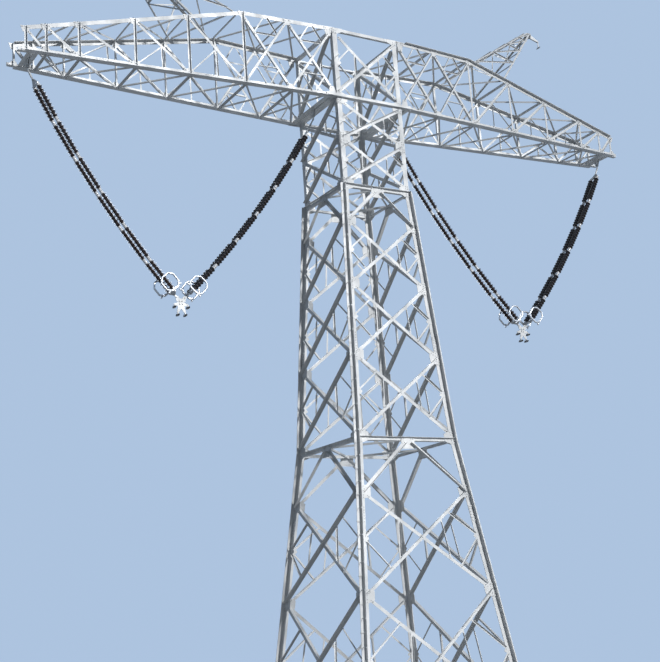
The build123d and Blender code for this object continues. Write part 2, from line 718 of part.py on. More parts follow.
def peak_leg_ends(end, sign):
    """Heel of one peak leg at the chord and at the tip, and which side of the tip it is on."""
    x, top_side = (peak_inner_x, -1) if end == "inner" else (peak_outer_x, 1)
    foot = Vector(x, sign * (arm_half_width(x) - PEAK_SEAT_INSET), BODY_HEIGHT + top_rise(x))
    tip = Vector(PEAK_TIP_X + top_side * PEAK_TOP_WIDTH / 2, sign * PEAK_TOP_WIDTH / 2, peak_top)
    return foot, tip, top_side


def panel_share(count):
    """Share of the peak's height at a panel point: panels shorten towards the tip."""
    used = 1 - (1 - count / PEAK_PANELS) ** PEAK_PANEL_TAPER
    return PEAK_FIRST_NODE + (PEAK_LAST_NODE - PEAK_FIRST_NODE) * used


def leg_point(leg, share, other):
    """Brace node on a peak leg at a share of its height, on the side of another leg."""
    point = leg[0] + (leg[1] - leg[0]) * share
    across = other[0] + (other[1] - other[0]) * share - point
    return point + across.normalized() * PEAK_LEG_FLANGE / 2


def peak():
    """Tapering lattice peak, cut to sit on the sloping chords."""
    legs = {(end, sign): peak_leg_ends(end, sign) for end in ("inner", "outer") for sign in (-1, 1)}
    pieces = []
    for (end, sign), (foot, tip, top_side) in legs.items():
        pieces.append(skewed_angle(
            Plane.XY.offset(tip.Z), (tip.X, tip.Y), PEAK_LEG_FLANGE, PEAK_LEG_WALL, -top_side, -sign,
            (foot - tip) * PEAK_LEG_EXTRA,
        ))
    faces = (
        (("inner", -1), ("outer", -1), Vector(0, -1, 0)), (("outer", -1), ("outer", 1), Vector(1, 0, 0)),
        (("outer", 1), ("inner", 1), Vector(0, 1, 0)), (("inner", 1), ("inner", -1), Vector(-1, 0, 0)),
    )
    for first, second, toward in faces:
        for count in range(PEAK_PANELS):
            low, high = panel_share(count), panel_share(count + 1)
            start = leg_point(legs[first], low, legs[second])
            ends = [leg_point(legs[second], high, legs[first])]
            if count:
                ends.append(leg_point(legs[second], low, legs[first]))
            pieces += [between(start, stop, toward, PEAK_BRACE_FLANGE, PEAK_BRACE_WALL) for stop in ends]
    with BuildPart() as cap:
        with BuildSketch(Plane.XY.offset(peak_top - GUSSET_WALL)):
            with Locations((PEAK_TIP_X, 0)):
                Rectangle(PEAK_TOP_WIDTH, PEAK_TOP_WIDTH)
        extrude(amount=GUSSET_WALL)
    with BuildPart() as lattice:
        add(pieces + [cap.part])
        split(bisect_by=over_slope, keep=Keep.TOP)
    return lattice.part


bracket_root_x = PEAK_TIP_X + PEAK_TOP_WIDTH / 2
wire_pin = (bracket_root_x + BRACKET_REACH, peak_top - BRACKET_DROP)
along_line = Plane(origin=(0, 0, 0), x_dir=(1, 0, 0), z_dir=(0, -1, 0))


def peak_bracket():
    """Two plates that reach outwards and down from the peak's tip to the ground-wire pin."""
    inside = LUG_GAP / 2
    root_middle = peak_top - BRACKET_ROOT_HEIGHT / 2
    pin_half = inside + BRACKET_WALL + PIN_END
    pieces = [disc(along_line, wire_pin, WIRE_PIN_RADIUS, -pin_half, pin_half)]
    for sign in (-1, 1):
        with BuildPart() as cheek:
            with BuildSketch(along_line.offset(sign * inside)):
                with Locations(wire_pin):
                    Circle(BRACKET_NOSE)
                with Locations((bracket_root_x + BRACKET_WALL / 2, root_middle)):
                    Rectangle(BRACKET_WALL, BRACKET_ROOT_HEIGHT)
                make_hull()
            extrude(amount=sign * BRACKET_WALL)
        pieces.append(cheek.part)
    with BuildPart() as root_plate:
        with BuildSketch(Plane.YZ.offset(bracket_root_x)):
            with Locations((0, root_middle)):
                Rectangle(PEAK_TOP_WIDTH, BRACKET_ROOT_HEIGHT)
        extrude(amount=BRACKET_WALL)
    with BuildPart() as bracket:
        add(pieces + [root_plate.part])
    return bracket.part


def suspension_clamp(centre, bore, middle_radius, end_radius):
    """Clamp body around a wire that runs along Y, narrower at both ends."""
    x, level = centre
    half = CLAMP_LENGTH / 2
    across = Plane(origin=(x, 0, level), x_dir=(1, 0, 0), z_dir=(0, 1, 0))
    with BuildPart() as body:
        for place, radius in ((-half, end_radius), (-half / 2, middle_radius),
                              (half / 2, middle_radius), (half, end_radius)):
            with BuildSketch(across.offset(place)):
                RegularPolygon(radius, CLAMP_SIDES)
        loft(ruled=True)
        with BuildSketch(across.offset(-half)):
            Circle(bore)
        extrude(amount=CLAMP_LENGTH, mode=Mode.SUBTRACT)
    return body.part


def ground_wire_clamp():
    """Link and suspension clamp that swing on the bracket's pin."""
    x, level = wire_pin
    clamp_centre = (x, level - WIRE_CLAMP_DROP)
    link_foot = level - WIRE_CLAMP_DROP + GROUND_WIRE_RADIUS + SEAT_GAP
    with BuildPart() as link:
        with BuildSketch(along_line.offset(-WIRE_LINK_WALL / 2)):
            with Locations(wire_pin):
                Circle(WIRE_LINK_WIDTH / 2)
            with Locations((x, (level + link_foot) / 2)):
                Rectangle(WIRE_LINK_WIDTH, level - link_foot)
            with Locations(wire_pin):
                Circle(WIRE_PIN_RADIUS + HINGE_CLEARANCE, mode=Mode.SUBTRACT)
        extrude(amount=WIRE_LINK_WALL)
    body = suspension_clamp(clamp_centre, GROUND_WIRE_RADIUS, WIRE_CLAMP_RADIUS, WIRE_CLAMP_END_RADIUS)
    with BuildPart() as clamp:
        add([link.part, body])
    return clamp.part


# V insulator sets: each string is a shallow arc, bowed down by its own weight
bow = radians(STRING_BOW)
string_length = OUTER_TOP_LINK + STRING_UNITS * UNIT_LENGTH + LOWER_LINK
eye_foot = HINGE_LEVEL - EYE_SHANK
outer_flat = OUTER_HANGER_X - YOKE_X - YOKE_HALF_SPREAD
outer_chord = string_length * sin(bow) / bow
YOKE_LEVEL = eye_foot - sqrt(outer_chord**2 - outer_flat**2)


def arc_point(start, end, distance):
    """Point on the bowed line in the XZ plane between two points, at a distance from its start."""
    chord = end - start
    radius = chord.length / (2 * sin(bow))
    turn = distance / radius
    along = radius * (sin(bow) - sin(bow - turn))
    dip = radius * (cos(bow - turn) - cos(bow))
    down = Vector(chord.Z, 0, -chord.X) if chord.X > 0 else Vector(-chord.Z, 0, chord.X)
    return start + chord.normalized() * along + down.normalized() * dip


def prism(start, end, radius, sides=6):
    """Straight few-sided rod between two points."""
    run = end - start
    with BuildPart() as rod:
        with BuildSketch(Plane(origin=start, x_dir=(0, 1, 0), z_dir=run)):
            RegularPolygon(radius, sides)
        extrude(amount=run.length)
    return rod.part


def spreader(joint, run, depth):
    """Triangular plate across the two strings, from their joint towards a single point."""
    face = Plane(origin=joint, x_dir=(0, 1, 0), z_dir=Vector(0, 1, 0).cross(run))
    half, nose = STRING_HALF_SPACING + SPREADER_MARGIN, SPREADER_NOSE / 2
    outline = [
        (-half, -SPREADER_BACK), (half, -SPREADER_BACK), (half, SPREADER_LIP), (nose, depth),
        (-nose, depth), (-half, SPREADER_LIP),
    ]
    if face.y_dir.dot(run) < 0:
        outline = [(x, -y) for x, y in outline[::-1]]
    return plate(face, outline, YOKE_WALL, -YOKE_WALL / 2)


def coupling(joint, before, after):
    """Two insulator caps that meet, with a round plate between them."""
    cap = CAP_LENGTH - CAP_GAP
    with BuildPart() as caps:
        add([
            prism(joint - before * cap, joint + after * cap, CAP_RADIUS),
            prism(joint - after * SPACER_WALL / 2, joint + after * SPACER_WALL / 2, SPACER_RADIUS),
        ])
    return caps.part


def string_arm(hanger_x, yoke_x):
    """Insulators and fittings of one arm of the V, and its last joint and direction."""
    start, end = Vector(hanger_x, 0, eye_foot), Vector(yoke_x, 0, YOKE_LEVEL)
    total = (end - start).length * bow / sin(bow)
    top_link = total - LOWER_LINK - STRING_UNITS * UNIT_LENGTH
    joints = [arc_point(start, end, top_link + count * UNIT_LENGTH) for count in range(STRING_UNITS + 1)]
    runs = [(b - a).normalized() for a, b in zip(joints[:-1], joints[1:])]
    last = (end - joints[-1]).normalized()
    cap = CAP_LENGTH - CAP_GAP
    barrels, fittings = [], []
    eye_face = Plane(origin=(hanger_x, 0, 0), x_dir=(0, 1, 0), z_dir=(1, 0, 0))
    with BuildPart() as shank:
        with BuildSketch(eye_face.offset(-EYE_WALL / 2)):
            with Locations((0, HINGE_LEVEL)):
                Circle(EYE_RADIUS)
            with Locations((0, (HINGE_LEVEL + eye_foot) / 2)):
                Rectangle(EYE_RADIUS, EYE_SHANK)
        extrude(amount=EYE_WALL)
    top = [
        shank.part,
        prism(start, joints[0] - runs[0] * (TOP_SPREADER_DEPTH - LINK_LAP), LINK_RADIUS),
        spreader(joints[0], -runs[0], TOP_SPREADER_DEPTH),
    ]
    bottom = [spreader(joints[-1], last, LOWER_LINK - STRAP_LENGTH + 2 * LINK_LAP)]
    strap_face = Plane(origin=end, x_dir=last, z_dir=(0, -1, 0))
    half = STRAP_WIDTH / 2
    strap = [(-STRAP_LENGTH, -half), (half, -half), (half, half), (-STRAP_LENGTH, half)]
    for level in (YOKE_WALL / 2, -YOKE_WALL / 2 - STRAP_WALL):
        bottom.append(plate(strap_face, strap, STRAP_WALL, level))
    for sign in (-1, 1):
        path = [joint + Vector(0, sign * STRING_HALF_SPACING, 0) for joint in joints]
        for first, second, run in zip(path[:-1], path[1:], runs):
            upper, lower = first + run * CAP_LENGTH, second - run * CAP_LENGTH
            barrels.append(prism(upper, lower, UNIT_RADIUS, BARREL_SIDES))
        for joint, before, after in zip(path[1:-1], runs[:-1], runs[1:]):
            fittings.append(coupling(joint, before, after))
        top.append(prism(path[0] - runs[0] * LINK_LAP, path[0] + runs[0] * cap, CAP_RADIUS))
        bottom.append(prism(path[-1] - runs[-1] * cap, path[-1] + runs[-1] * LINK_LAP, CAP_RADIUS))
    with BuildPart() as bottom_set:
        add(bottom)
    hinge_hole = HINGE_PIN_RADIUS + HINGE_CLEARANCE
    fittings += [drilled(top, eye_face, (0, HINGE_LEVEL), hinge_hole, EYE_WALL), bottom_set.part]
    return barrels, fittings, joints[-1], runs[-1]


def grading_ring(joint, run, sign):
    """Chamfered square loop beside one string's lower end, with a bar across it."""
    face = Plane(origin=joint - run * (RING_STUB + RING_BAR_PLACE), x_dir=run, z_dir=(0, sign, 0))
    ring_level = STRING_HALF_SPACING + RING_OFFSET
    stub_level = STRING_HALF_SPACING + CAP_RADIUS + SEAT_GAP
    with BuildPart() as ring:
        with BuildSketch(face.offset(ring_level)):
            outer = Rectangle(RING_SIDE, RING_SIDE)
            chamfer(outer.vertices(), RING_CORNER)
            offset(amount=-RING_BAR, mode=Mode.SUBTRACT)
            with Locations((RING_BAR_PLACE, 0)):
                Rectangle(RING_BAR, RING_SIDE - RING_BAR)
        extrude(amount=RING_BAR)
        with BuildSketch(face.offset(stub_level)):
            with Locations((RING_BAR_PLACE, 0)):
                Rectangle(RING_BAR, RING_BAR)
        extrude(amount=ring_level - stub_level)
    return ring.part


def clamp_places():
    """Bore centre of each conductor clamp, from the V plate's middle."""
    for sign in (-1, 1):
        yield sign * CLAMP_HALF_SPREAD_UPPER, -CLAMP_UPPER_DROP
        yield sign * CLAMP_HALF_SPREAD_LOWER, -CLAMP_LOWER_DROP


def bundle_arm(hub_level, x, level):
    """Outline of one arm of the plate that carries the clamps."""
    with BuildSketch() as arm:
        with Locations((0, hub_level)):
            Circle(BUNDLE_HUB_RADIUS)
        with Locations((x, level)):
            Circle(BUNDLE_END_RADIUS)
        make_hull()
    return arm.sketch


def yoke_plates():
    """V plate, two pairs of links, and the plate that carries four clamps."""
    face = Plane(origin=(YOKE_X, 0, YOKE_LEVEL), x_dir=(1, 0, 0), z_dir=(0, -1, 0))
    with BuildPart() as v_plate:
        with BuildSketch(face.offset(-YOKE_WALL / 2)):
            with GridLocations(2 * YOKE_HALF_SPREAD, 0, 2, 1):
                Circle(V_PLATE_EAR)
            with Locations((0, -V_PLATE_DEPTH)):
                Rectangle(2 * YOKE_HALF_SPREAD, V_PLATE_EAR)
            make_hull()
            with Locations((0, V_PLATE_HOLLOW / 2)):
                Circle(V_PLATE_HOLLOW, mode=Mode.SUBTRACT)
        extrude(amount=YOKE_WALL)
    pieces = [v_plate.part]
    hub_level = -V_PLATE_DEPTH - LINK_DROP
    left_upper, left_lower, right_upper, right_lower = (
        bundle_arm(hub_level, x, drop + CLAMP_STRAP) for x, drop in clamp_places()
    )
    cross_plate = left_upper + right_upper
    seam = offset(cross_plate, SEAT_GAP)
    for outline in (cross_plate, left_lower - seam, right_lower - seam):
        with BuildPart() as bundle_plate:
            with BuildSketch(face.offset(-YOKE_WALL / 2)):
                add(outline)
            extrude(amount=YOKE_WALL)
        pieces.append(bundle_plate.part)
    for level in (YOKE_WALL / 2, -YOKE_WALL / 2 - STRAP_WALL):
        for sign in (-1, 1):
            x = sign * BUNDLE_HUB_RADIUS / 2
            outer_x = x + sign * YOKE_LINK_WIDTH / 2
            inner_x = x - sign * YOKE_LINK_WIDTH / 2
            low, high = hub_level - LINK_LAP, -V_PLATE_DEPTH + LINK_LAP
            link = [(min(inner_x, outer_x), low), (max(inner_x, outer_x), low),
                    (max(inner_x, outer_x), high), (min(inner_x, outer_x), high)]
            pieces.append(plate(face, link, STRAP_WALL, level))
    with BuildPart() as yoke:
        add(pieces)
    return yoke.part


def conductor_clamps():
    """Four suspension clamps, each hung from the bundle plate by two straps."""
    clamps = []
    for x, drop in clamp_places():
        centre = (YOKE_X + x, YOKE_LEVEL + drop)
        pieces = [suspension_clamp(centre, CLAMP_BORE_RADIUS, CLAMP_RADIUS, CLAMP_END_RADIUS)]
        face = Plane(origin=(centre[0], 0, centre[1]), x_dir=(1, 0, 0), z_dir=(0, -1, 0))
        half, foot_height = CLAMP_STRAP_WIDTH / 2, CLAMP_BORE_RADIUS + SEAT_GAP
        top = CLAMP_STRAP + half
        strap = [(-half, foot_height), (half, foot_height), (half, top), (-half, top)]
        pieces += [plate(face, strap, CLAMP_STRAP_WALL, level)
                   for level in (YOKE_WALL / 2, -YOKE_WALL / 2 - CLAMP_STRAP_WALL)]
        with BuildPart() as clamp:
            add(pieces)
        clamps.append(clamp.part)
    with BuildPart() as all_clamps:
        add(clamps)
    return all_clamps.part


insulators, fittings, rings = [], [], []
for hanger_x, yoke_x in (
    (INNER_HANGER_X, YOKE_X - YOKE_HALF_SPREAD), (OUTER_HANGER_X, YOKE_X + YOKE_HALF_SPREAD),
):
    barrels, metal, lowest_joint, lowest_run = string_arm(hanger_x, yoke_x)
    insulators += barrels
    fittings += metal
    rings += [grading_ring(lowest_joint, lowest_run, sign) for sign in (-1, 1)]


def gathered(pieces):
    """Loose pieces of one node."""
    with BuildPart() as node:
        add(pieces)
    return node.part


# The right arm's nodes, and the left arm's as their mirror image
right_hand = {
    "bottom_bracing": gathered(bottom_pieces),
    "top_bracing": gathered(top_pieces),
    "hanger_beams": gathered([hanger(INNER_HANGER_X), hanger(OUTER_HANGER_X)]),
    "peak": peak(),
    "peak_bracket": peak_bracket(),
    "ground_wire_clamp": ground_wire_clamp(),
    "insulators": gathered(insulators),
    "string_fittings": gathered(fittings),
    "grading_rings": gathered(rings),
    "yoke": yoke_plates(),
    "conductor_clamps": conductor_clamps(),
}
for name, part in right_hand.items():
    save(part, f"right_{name}")
    save(mirror(part, about=Plane.YZ), f"left_{name}")
save(right_front_truss, "right_front_truss")
save(left_front_truss, "left_front_truss")
save(turned_part([left_front_truss], 180), "right_rear_truss")
save(turned_part([right_front_truss], 180), "left_rear_truss")
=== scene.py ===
"""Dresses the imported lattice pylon: fine bracing, bolts, steps, insulators, fittings and finishes."""

import logging
import math
from dataclasses import dataclass
from enum import Enum
from typing import Iterator, Sequence

import bmesh
import bpy
from mathutils import Matrix, Vector


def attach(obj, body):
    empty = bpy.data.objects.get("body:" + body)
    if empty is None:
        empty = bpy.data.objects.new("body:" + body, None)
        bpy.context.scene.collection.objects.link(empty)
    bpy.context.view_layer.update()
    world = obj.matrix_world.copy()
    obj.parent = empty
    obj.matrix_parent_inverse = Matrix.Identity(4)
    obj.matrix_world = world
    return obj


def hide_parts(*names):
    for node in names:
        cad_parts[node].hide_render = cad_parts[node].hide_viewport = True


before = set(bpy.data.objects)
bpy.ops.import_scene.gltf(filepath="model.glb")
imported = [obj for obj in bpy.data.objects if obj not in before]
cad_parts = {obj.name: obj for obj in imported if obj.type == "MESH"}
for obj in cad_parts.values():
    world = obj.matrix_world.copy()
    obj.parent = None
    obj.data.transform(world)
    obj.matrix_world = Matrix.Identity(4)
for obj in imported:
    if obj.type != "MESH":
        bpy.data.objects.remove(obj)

LOG = logging.getLogger("pylon")
QUARTER = math.radians(90.0)
SIDES = (-1, 1)
UP = Vector((0.0, 0.0, 1.0))
ALONG_LINE = Vector((0.0, 1.0, 0.0))

# Edges of round pieces, of fittings and of nuts are smoothed below these angles, in degrees
ROUND_ANGLE = 40.0
FITTING_ANGLE = 35.0
NUT_ANGLE = 30.0

Mesh = bpy.types.Mesh
Socket = bpy.types.NodeSocket


class Body(Enum):
    """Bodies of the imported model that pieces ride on."""

    TOWER = "tower"
    LEFT_SET = "left_v_set"
    RIGHT_SET = "right_v_set"
    LEFT_WIRE = "left_wire_clamp"
    RIGHT_WIRE = "right_wire_clamp"


class Slot(Enum):
    """Material slots of the record."""

    STEEL = "galvanised_steel"
    GLAZE = "glaze"
    FORGED = "forged_fitting"
    CAST = "cast_clamp"
    ALUMINIUM = "aluminium"


class Hand(Enum):
    """Which crossarm a piece hangs under; the value is the sign of its X."""

    LEFT = -1
    RIGHT = 1

    @property
    def word(self) -> str:
        """Name of the side as the record's nodes give it."""
        return self.name.lower()

    @property
    def v_set(self) -> Body:
        """Body that this side's insulator set moves with."""
        return Body.LEFT_SET if self is Hand.LEFT else Body.RIGHT_SET

    @property
    def flip(self) -> Matrix:
        """Moves what is made for the right-hand side to this one."""
        return Matrix.Scale(float(self.value), 4, Vector((1, 0, 0)))

    @property
    def wire(self) -> Body:
        """Body that this side's ground-wire clamp moves with."""
        return Body.LEFT_WIRE if self is Hand.LEFT else Body.RIGHT_WIRE


# Finishes


class NodeSheet:
    """A short way to add and join the nodes of one tree."""

    def __init__(self, tree: bpy.types.NodeTree) -> None:
        """Starts from an empty tree.

        Args:
            tree: The material's or group's node tree.
        """
        self.tree = tree
        tree.nodes.clear()

    def add(self, kind: str, **values: object) -> bpy.types.Node:
        """Adds a node and sets its properties and inputs.

        Args:
            kind: Blender's name of the node type.
            **values: Properties by name; an input starts with in_ and its words are joined by _.

        Returns:
            The new node.
        """
        node = self.tree.nodes.new(kind)
        for name, value in values.items():
            if name.startswith("in_"):
                node.inputs[name[3:].replace("_", " ")].default_value = value
            else:
                setattr(node, name, value)
        return node

    def join(self, start: Socket, end: Socket) -> None:
        """Links an output to an input."""
        self.tree.links.new(start, end)

    def link(self, *links: tuple[bpy.types.Node, str | int, bpy.types.Node, str | int]) -> None:
        """Links nodes: each link names a node and its output, then a node and its input."""
        for start, output, end, entry in links:
            self.join(start.outputs[output], end.inputs[entry])

    def ramp(self, factor: Socket, stops: Sequence[tuple[float, float]]) -> Socket:
        """Shapes a mask.

        Args:
            factor: The value to reshape.
            stops: Places and grey levels, from low to high.

        Returns:
            The reshaped value.
        """
        node = self.tree.nodes.new("ShaderNodeValToRGB")
        elements = node.color_ramp.elements
        while len(elements) < len(stops):
            elements.new(0.5)
        for element, (place, level) in zip(elements, stops):
            element.position = place
            element.color = (level, level, level, 1.0)
        self.join(factor, node.inputs["Fac"])
        return node.outputs["Color"]

    def mix(self, factor: Socket, first: object, second: object) -> Socket:
        """Blends two colours.

        Args:
            factor: Share of the second colour.
            first: A colour, or the output that gives it.
            second: A colour, or the output that gives it.

        Returns:
            The blended colour.
        """
        node = self.tree.nodes.new("ShaderNodeMix")
        node.data_type = "RGBA"
        self.join(factor, node.inputs["Factor"])
        for socket, value in (("A", first), ("B", second)):
            target = [entry for entry in node.inputs if entry.name == socket and entry.type == "RGBA"][0]
            if isinstance(value, Socket):
                self.join(value, target)
            else:
                target.default_value = value
        return [entry for entry in node.outputs if entry.type == "RGBA"][0]


def weathering_group() -> bpy.types.NodeTree:
    """Builds the shared effect of cloudy patina, small crystals, rain streaks and a fine bump.

    Returns:
        The node group, with Coordinates and scales in, and masks and Height out.
    """
    group = bpy.data.node_groups.new("weathering", "ShaderNodeTree")
    sheet = NodeSheet(group)
    for name, kind, value in (
        ("Coordinates", "NodeSocketVector", None), ("Crystal Scale", "NodeSocketFloat", 90.0),
        ("Cloud Scale", "NodeSocketFloat", 1.4), ("Streak Scale", "NodeSocketFloat", 9.0),
    ):
        socket = group.interface.new_socket(name=name, in_out="INPUT", socket_type=kind)
        if value is not None:
            socket.default_value = value
    for name in ("Cloud", "Crystal", "Streak", "Height"):
        group.interface.new_socket(name=name, in_out="OUTPUT", socket_type="NodeSocketFloat")
    source = sheet.add("NodeGroupInput")
    target = sheet.add("NodeGroupOutput")
    cloud = sheet.add("ShaderNodeTexNoise", in_Detail=6.0, in_Roughness=0.62)
    sheet.link((source, "Coordinates", cloud, "Vector"), (source, "Cloud Scale", cloud, "Scale"))
    crystal = sheet.add("ShaderNodeTexVoronoi", in_Randomness=1.0)
    sheet.link((source, "Coordinates", crystal, "Vector"), (source, "Crystal Scale", crystal, "Scale"))
    grain = sheet.add("ShaderNodeSeparateColor")
    sheet.link((crystal, "Color", grain, "Color"))
    stretch = sheet.add("ShaderNodeMapping", in_Scale=(1.0, 1.0, 0.08))
    sheet.link((source, "Coordinates", stretch, "Vector"))
    streak = sheet.add("ShaderNodeTexNoise", in_Detail=4.0, in_Roughness=0.7)
    sheet.link((stretch, "Vector", streak, "Vector"), (source, "Streak Scale", streak, "Scale"))
    sheet.join(sheet.ramp(cloud.outputs["Fac"], ((0.36, 0.0), (0.66, 1.0))), target.inputs["Cloud"])
    sheet.link((grain, "Red", target, "Crystal"))
    sheet.join(sheet.ramp(streak.outputs["Fac"], ((0.52, 0.0), (0.74, 1.0))), target.inputs["Streak"])
    rough = sheet.add("ShaderNodeTexNoise", in_Scale=240.0, in_Detail=2.0)
    sheet.link((source, "Coordinates", rough, "Vector"), (rough, "Fac", target, "Height"))
    return group


@dataclass(frozen=True)
class Finish:
    """One surface finish, made from the shared weathering effect."""

    name: str
    base: tuple[float, float, float]
    cloudy: tuple[float, float, float]
    streaked: tuple[float, float, float]
    slot: Slot
    metallic: float = 0.0
    roughness: tuple[float, float] = (0.45, 0.65)
    crystal: float = 0.1
    streak: float = 0.5
    bump: float = 0.15
    coat: float = 0.0
    cloud_scale: float = 1.4
    crystal_scale: float = 90.0
    streak_scale: float = 9.0
    crystal_lift: float = 1.18
    bump_depth: float = 0.002

    def material(self, weathering: bpy.types.NodeTree) -> bpy.types.Material:
        """Builds the material.

        Args:
            weathering: The shared node group.

        Returns:
            The finished material.
        """
        material = bpy.data.materials.new(self.name)
        material.use_nodes = True
        sheet = NodeSheet(material.node_tree)
        place = sheet.add("ShaderNodeTexCoord")
        effect = sheet.add("ShaderNodeGroup", node_tree=weathering)
        effect.inputs["Crystal Scale"].default_value = self.crystal_scale
        effect.inputs["Cloud Scale"].default_value = self.cloud_scale
        effect.inputs["Streak Scale"].default_value = self.streak_scale
        sheet.link((place, "Object", effect, "Coordinates"))
        colour = sheet.mix(effect.outputs["Cloud"], (*self.base, 1.0), (*self.cloudy, 1.0))
        streaks = self.share(sheet, effect.outputs["Streak"], self.streak)
        colour = sheet.mix(streaks, colour, (*self.streaked, 1.0))
        bright = tuple(min(1.0, level * self.crystal_lift) for level in self.base)
        crystals = self.share(sheet, effect.outputs["Crystal"], self.crystal)
        colour = sheet.mix(crystals, colour, (*bright, 1.0))
        shader = sheet.add("ShaderNodeBsdfPrincipled", in_Metallic=self.metallic, in_Coat_Weight=self.coat)
        spread = sheet.add("ShaderNodeMapRange", in_To_Min=self.roughness[0], in_To_Max=self.roughness[1])
        sheet.link((effect, "Cloud", spread, "Value"))
        bump = sheet.add("ShaderNodeBump", in_Strength=self.bump, in_Distance=self.bump_depth)
        output = sheet.add("ShaderNodeOutputMaterial")
        sheet.link((effect, "Height", bump, "Height"))
        sheet.join(colour, shader.inputs["Base Color"])
        sheet.link(
            (spread, "Result", shader, "Roughness"), (bump, "Normal", shader, "Normal"),
            (shader, "BSDF", output, "Surface"),
        )
        return material

    @staticmethod
    def share(sheet: NodeSheet, mask: Socket, amount: float) -> Socket:
        """Scales a mask by a fixed amount."""
        node = sheet.add("ShaderNodeMath", operation="MULTIPLY")
        node.inputs[1].default_value = amount
        sheet.join(mask, node.inputs[0])
        return node.outputs["Value"]


class Palette:
    """All finishes of the pylon, built once."""

    finishes = (
        Finish("hot_dip_zinc", (0.74, 0.75, 0.75), (0.62, 0.64, 0.65), (0.42, 0.42, 0.40), Slot.STEEL,
               metallic=0.12, roughness=(0.38, 0.62), crystal=0.22, streak=0.32, bump=0.12),
        Finish("dull_zinc", (0.60, 0.61, 0.61), (0.50, 0.51, 0.52), (0.34, 0.33, 0.31), Slot.STEEL,
               metallic=0.35, roughness=(0.38, 0.6), crystal=0.2, streak=0.3, crystal_scale=160.0),
        Finish("bright_zinc", (0.80, 0.81, 0.82), (0.70, 0.71, 0.72), (0.48, 0.47, 0.45), Slot.FORGED,
               metallic=0.1, roughness=(0.35, 0.5), crystal=0.15, streak=0.2, bump=0.1, cloud_scale=4.0),
        Finish("brown_glaze", (0.040, 0.026, 0.022), (0.060, 0.038, 0.030), (0.14, 0.12, 0.10), Slot.GLAZE,
               roughness=(0.12, 0.28), crystal=0.03, streak=0.22, bump=0.03, coat=0.5, cloud_scale=3.0),
        Finish("cast_metal", (0.16, 0.165, 0.17), (0.23, 0.235, 0.24), (0.12, 0.11, 0.10), Slot.CAST,
               metallic=0.5, roughness=(0.45, 0.7), crystal=0.15, streak=0.3, bump=0.5, cloud_scale=6.0),
        Finish("drawn_aluminium", (0.78, 0.79, 0.80), (0.66, 0.67, 0.69), (0.50, 0.50, 0.50), Slot.ALUMINIUM,
               metallic=0.75, roughness=(0.26, 0.42), crystal=0.08, streak=0.2, bump=0.06, cloud_scale=3.0),
    )

    def __init__(self) -> None:
        """Makes one material for each finish."""
        weathering = weathering_group()
        self.by_name = {finish.name: finish for finish in self.finishes}
        self.materials = {finish.name: finish.material(weathering) for finish in self.finishes}

    def dress(self, piece: bpy.types.Object, name: str) -> None:
        """Gives a new piece its finish.

        Args:
            piece: The object to finish.
            name: The finish's name.
        """
        piece.data.materials.clear()
        piece.data.materials.append(self.materials[name])

    def dress_node(self, node: str, name: str) -> None:
        """Assigns a finish to a CAD node's own material slots.

        Args:
            node: The CAD node's name.
            name: The finish's name.
        """
        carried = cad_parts[node]
        if not carried.material_slots:
            carried.data.materials.append(self.materials[name])
        for slot in carried.material_slots:
            slot.material = self.materials[name]


# Mesh work


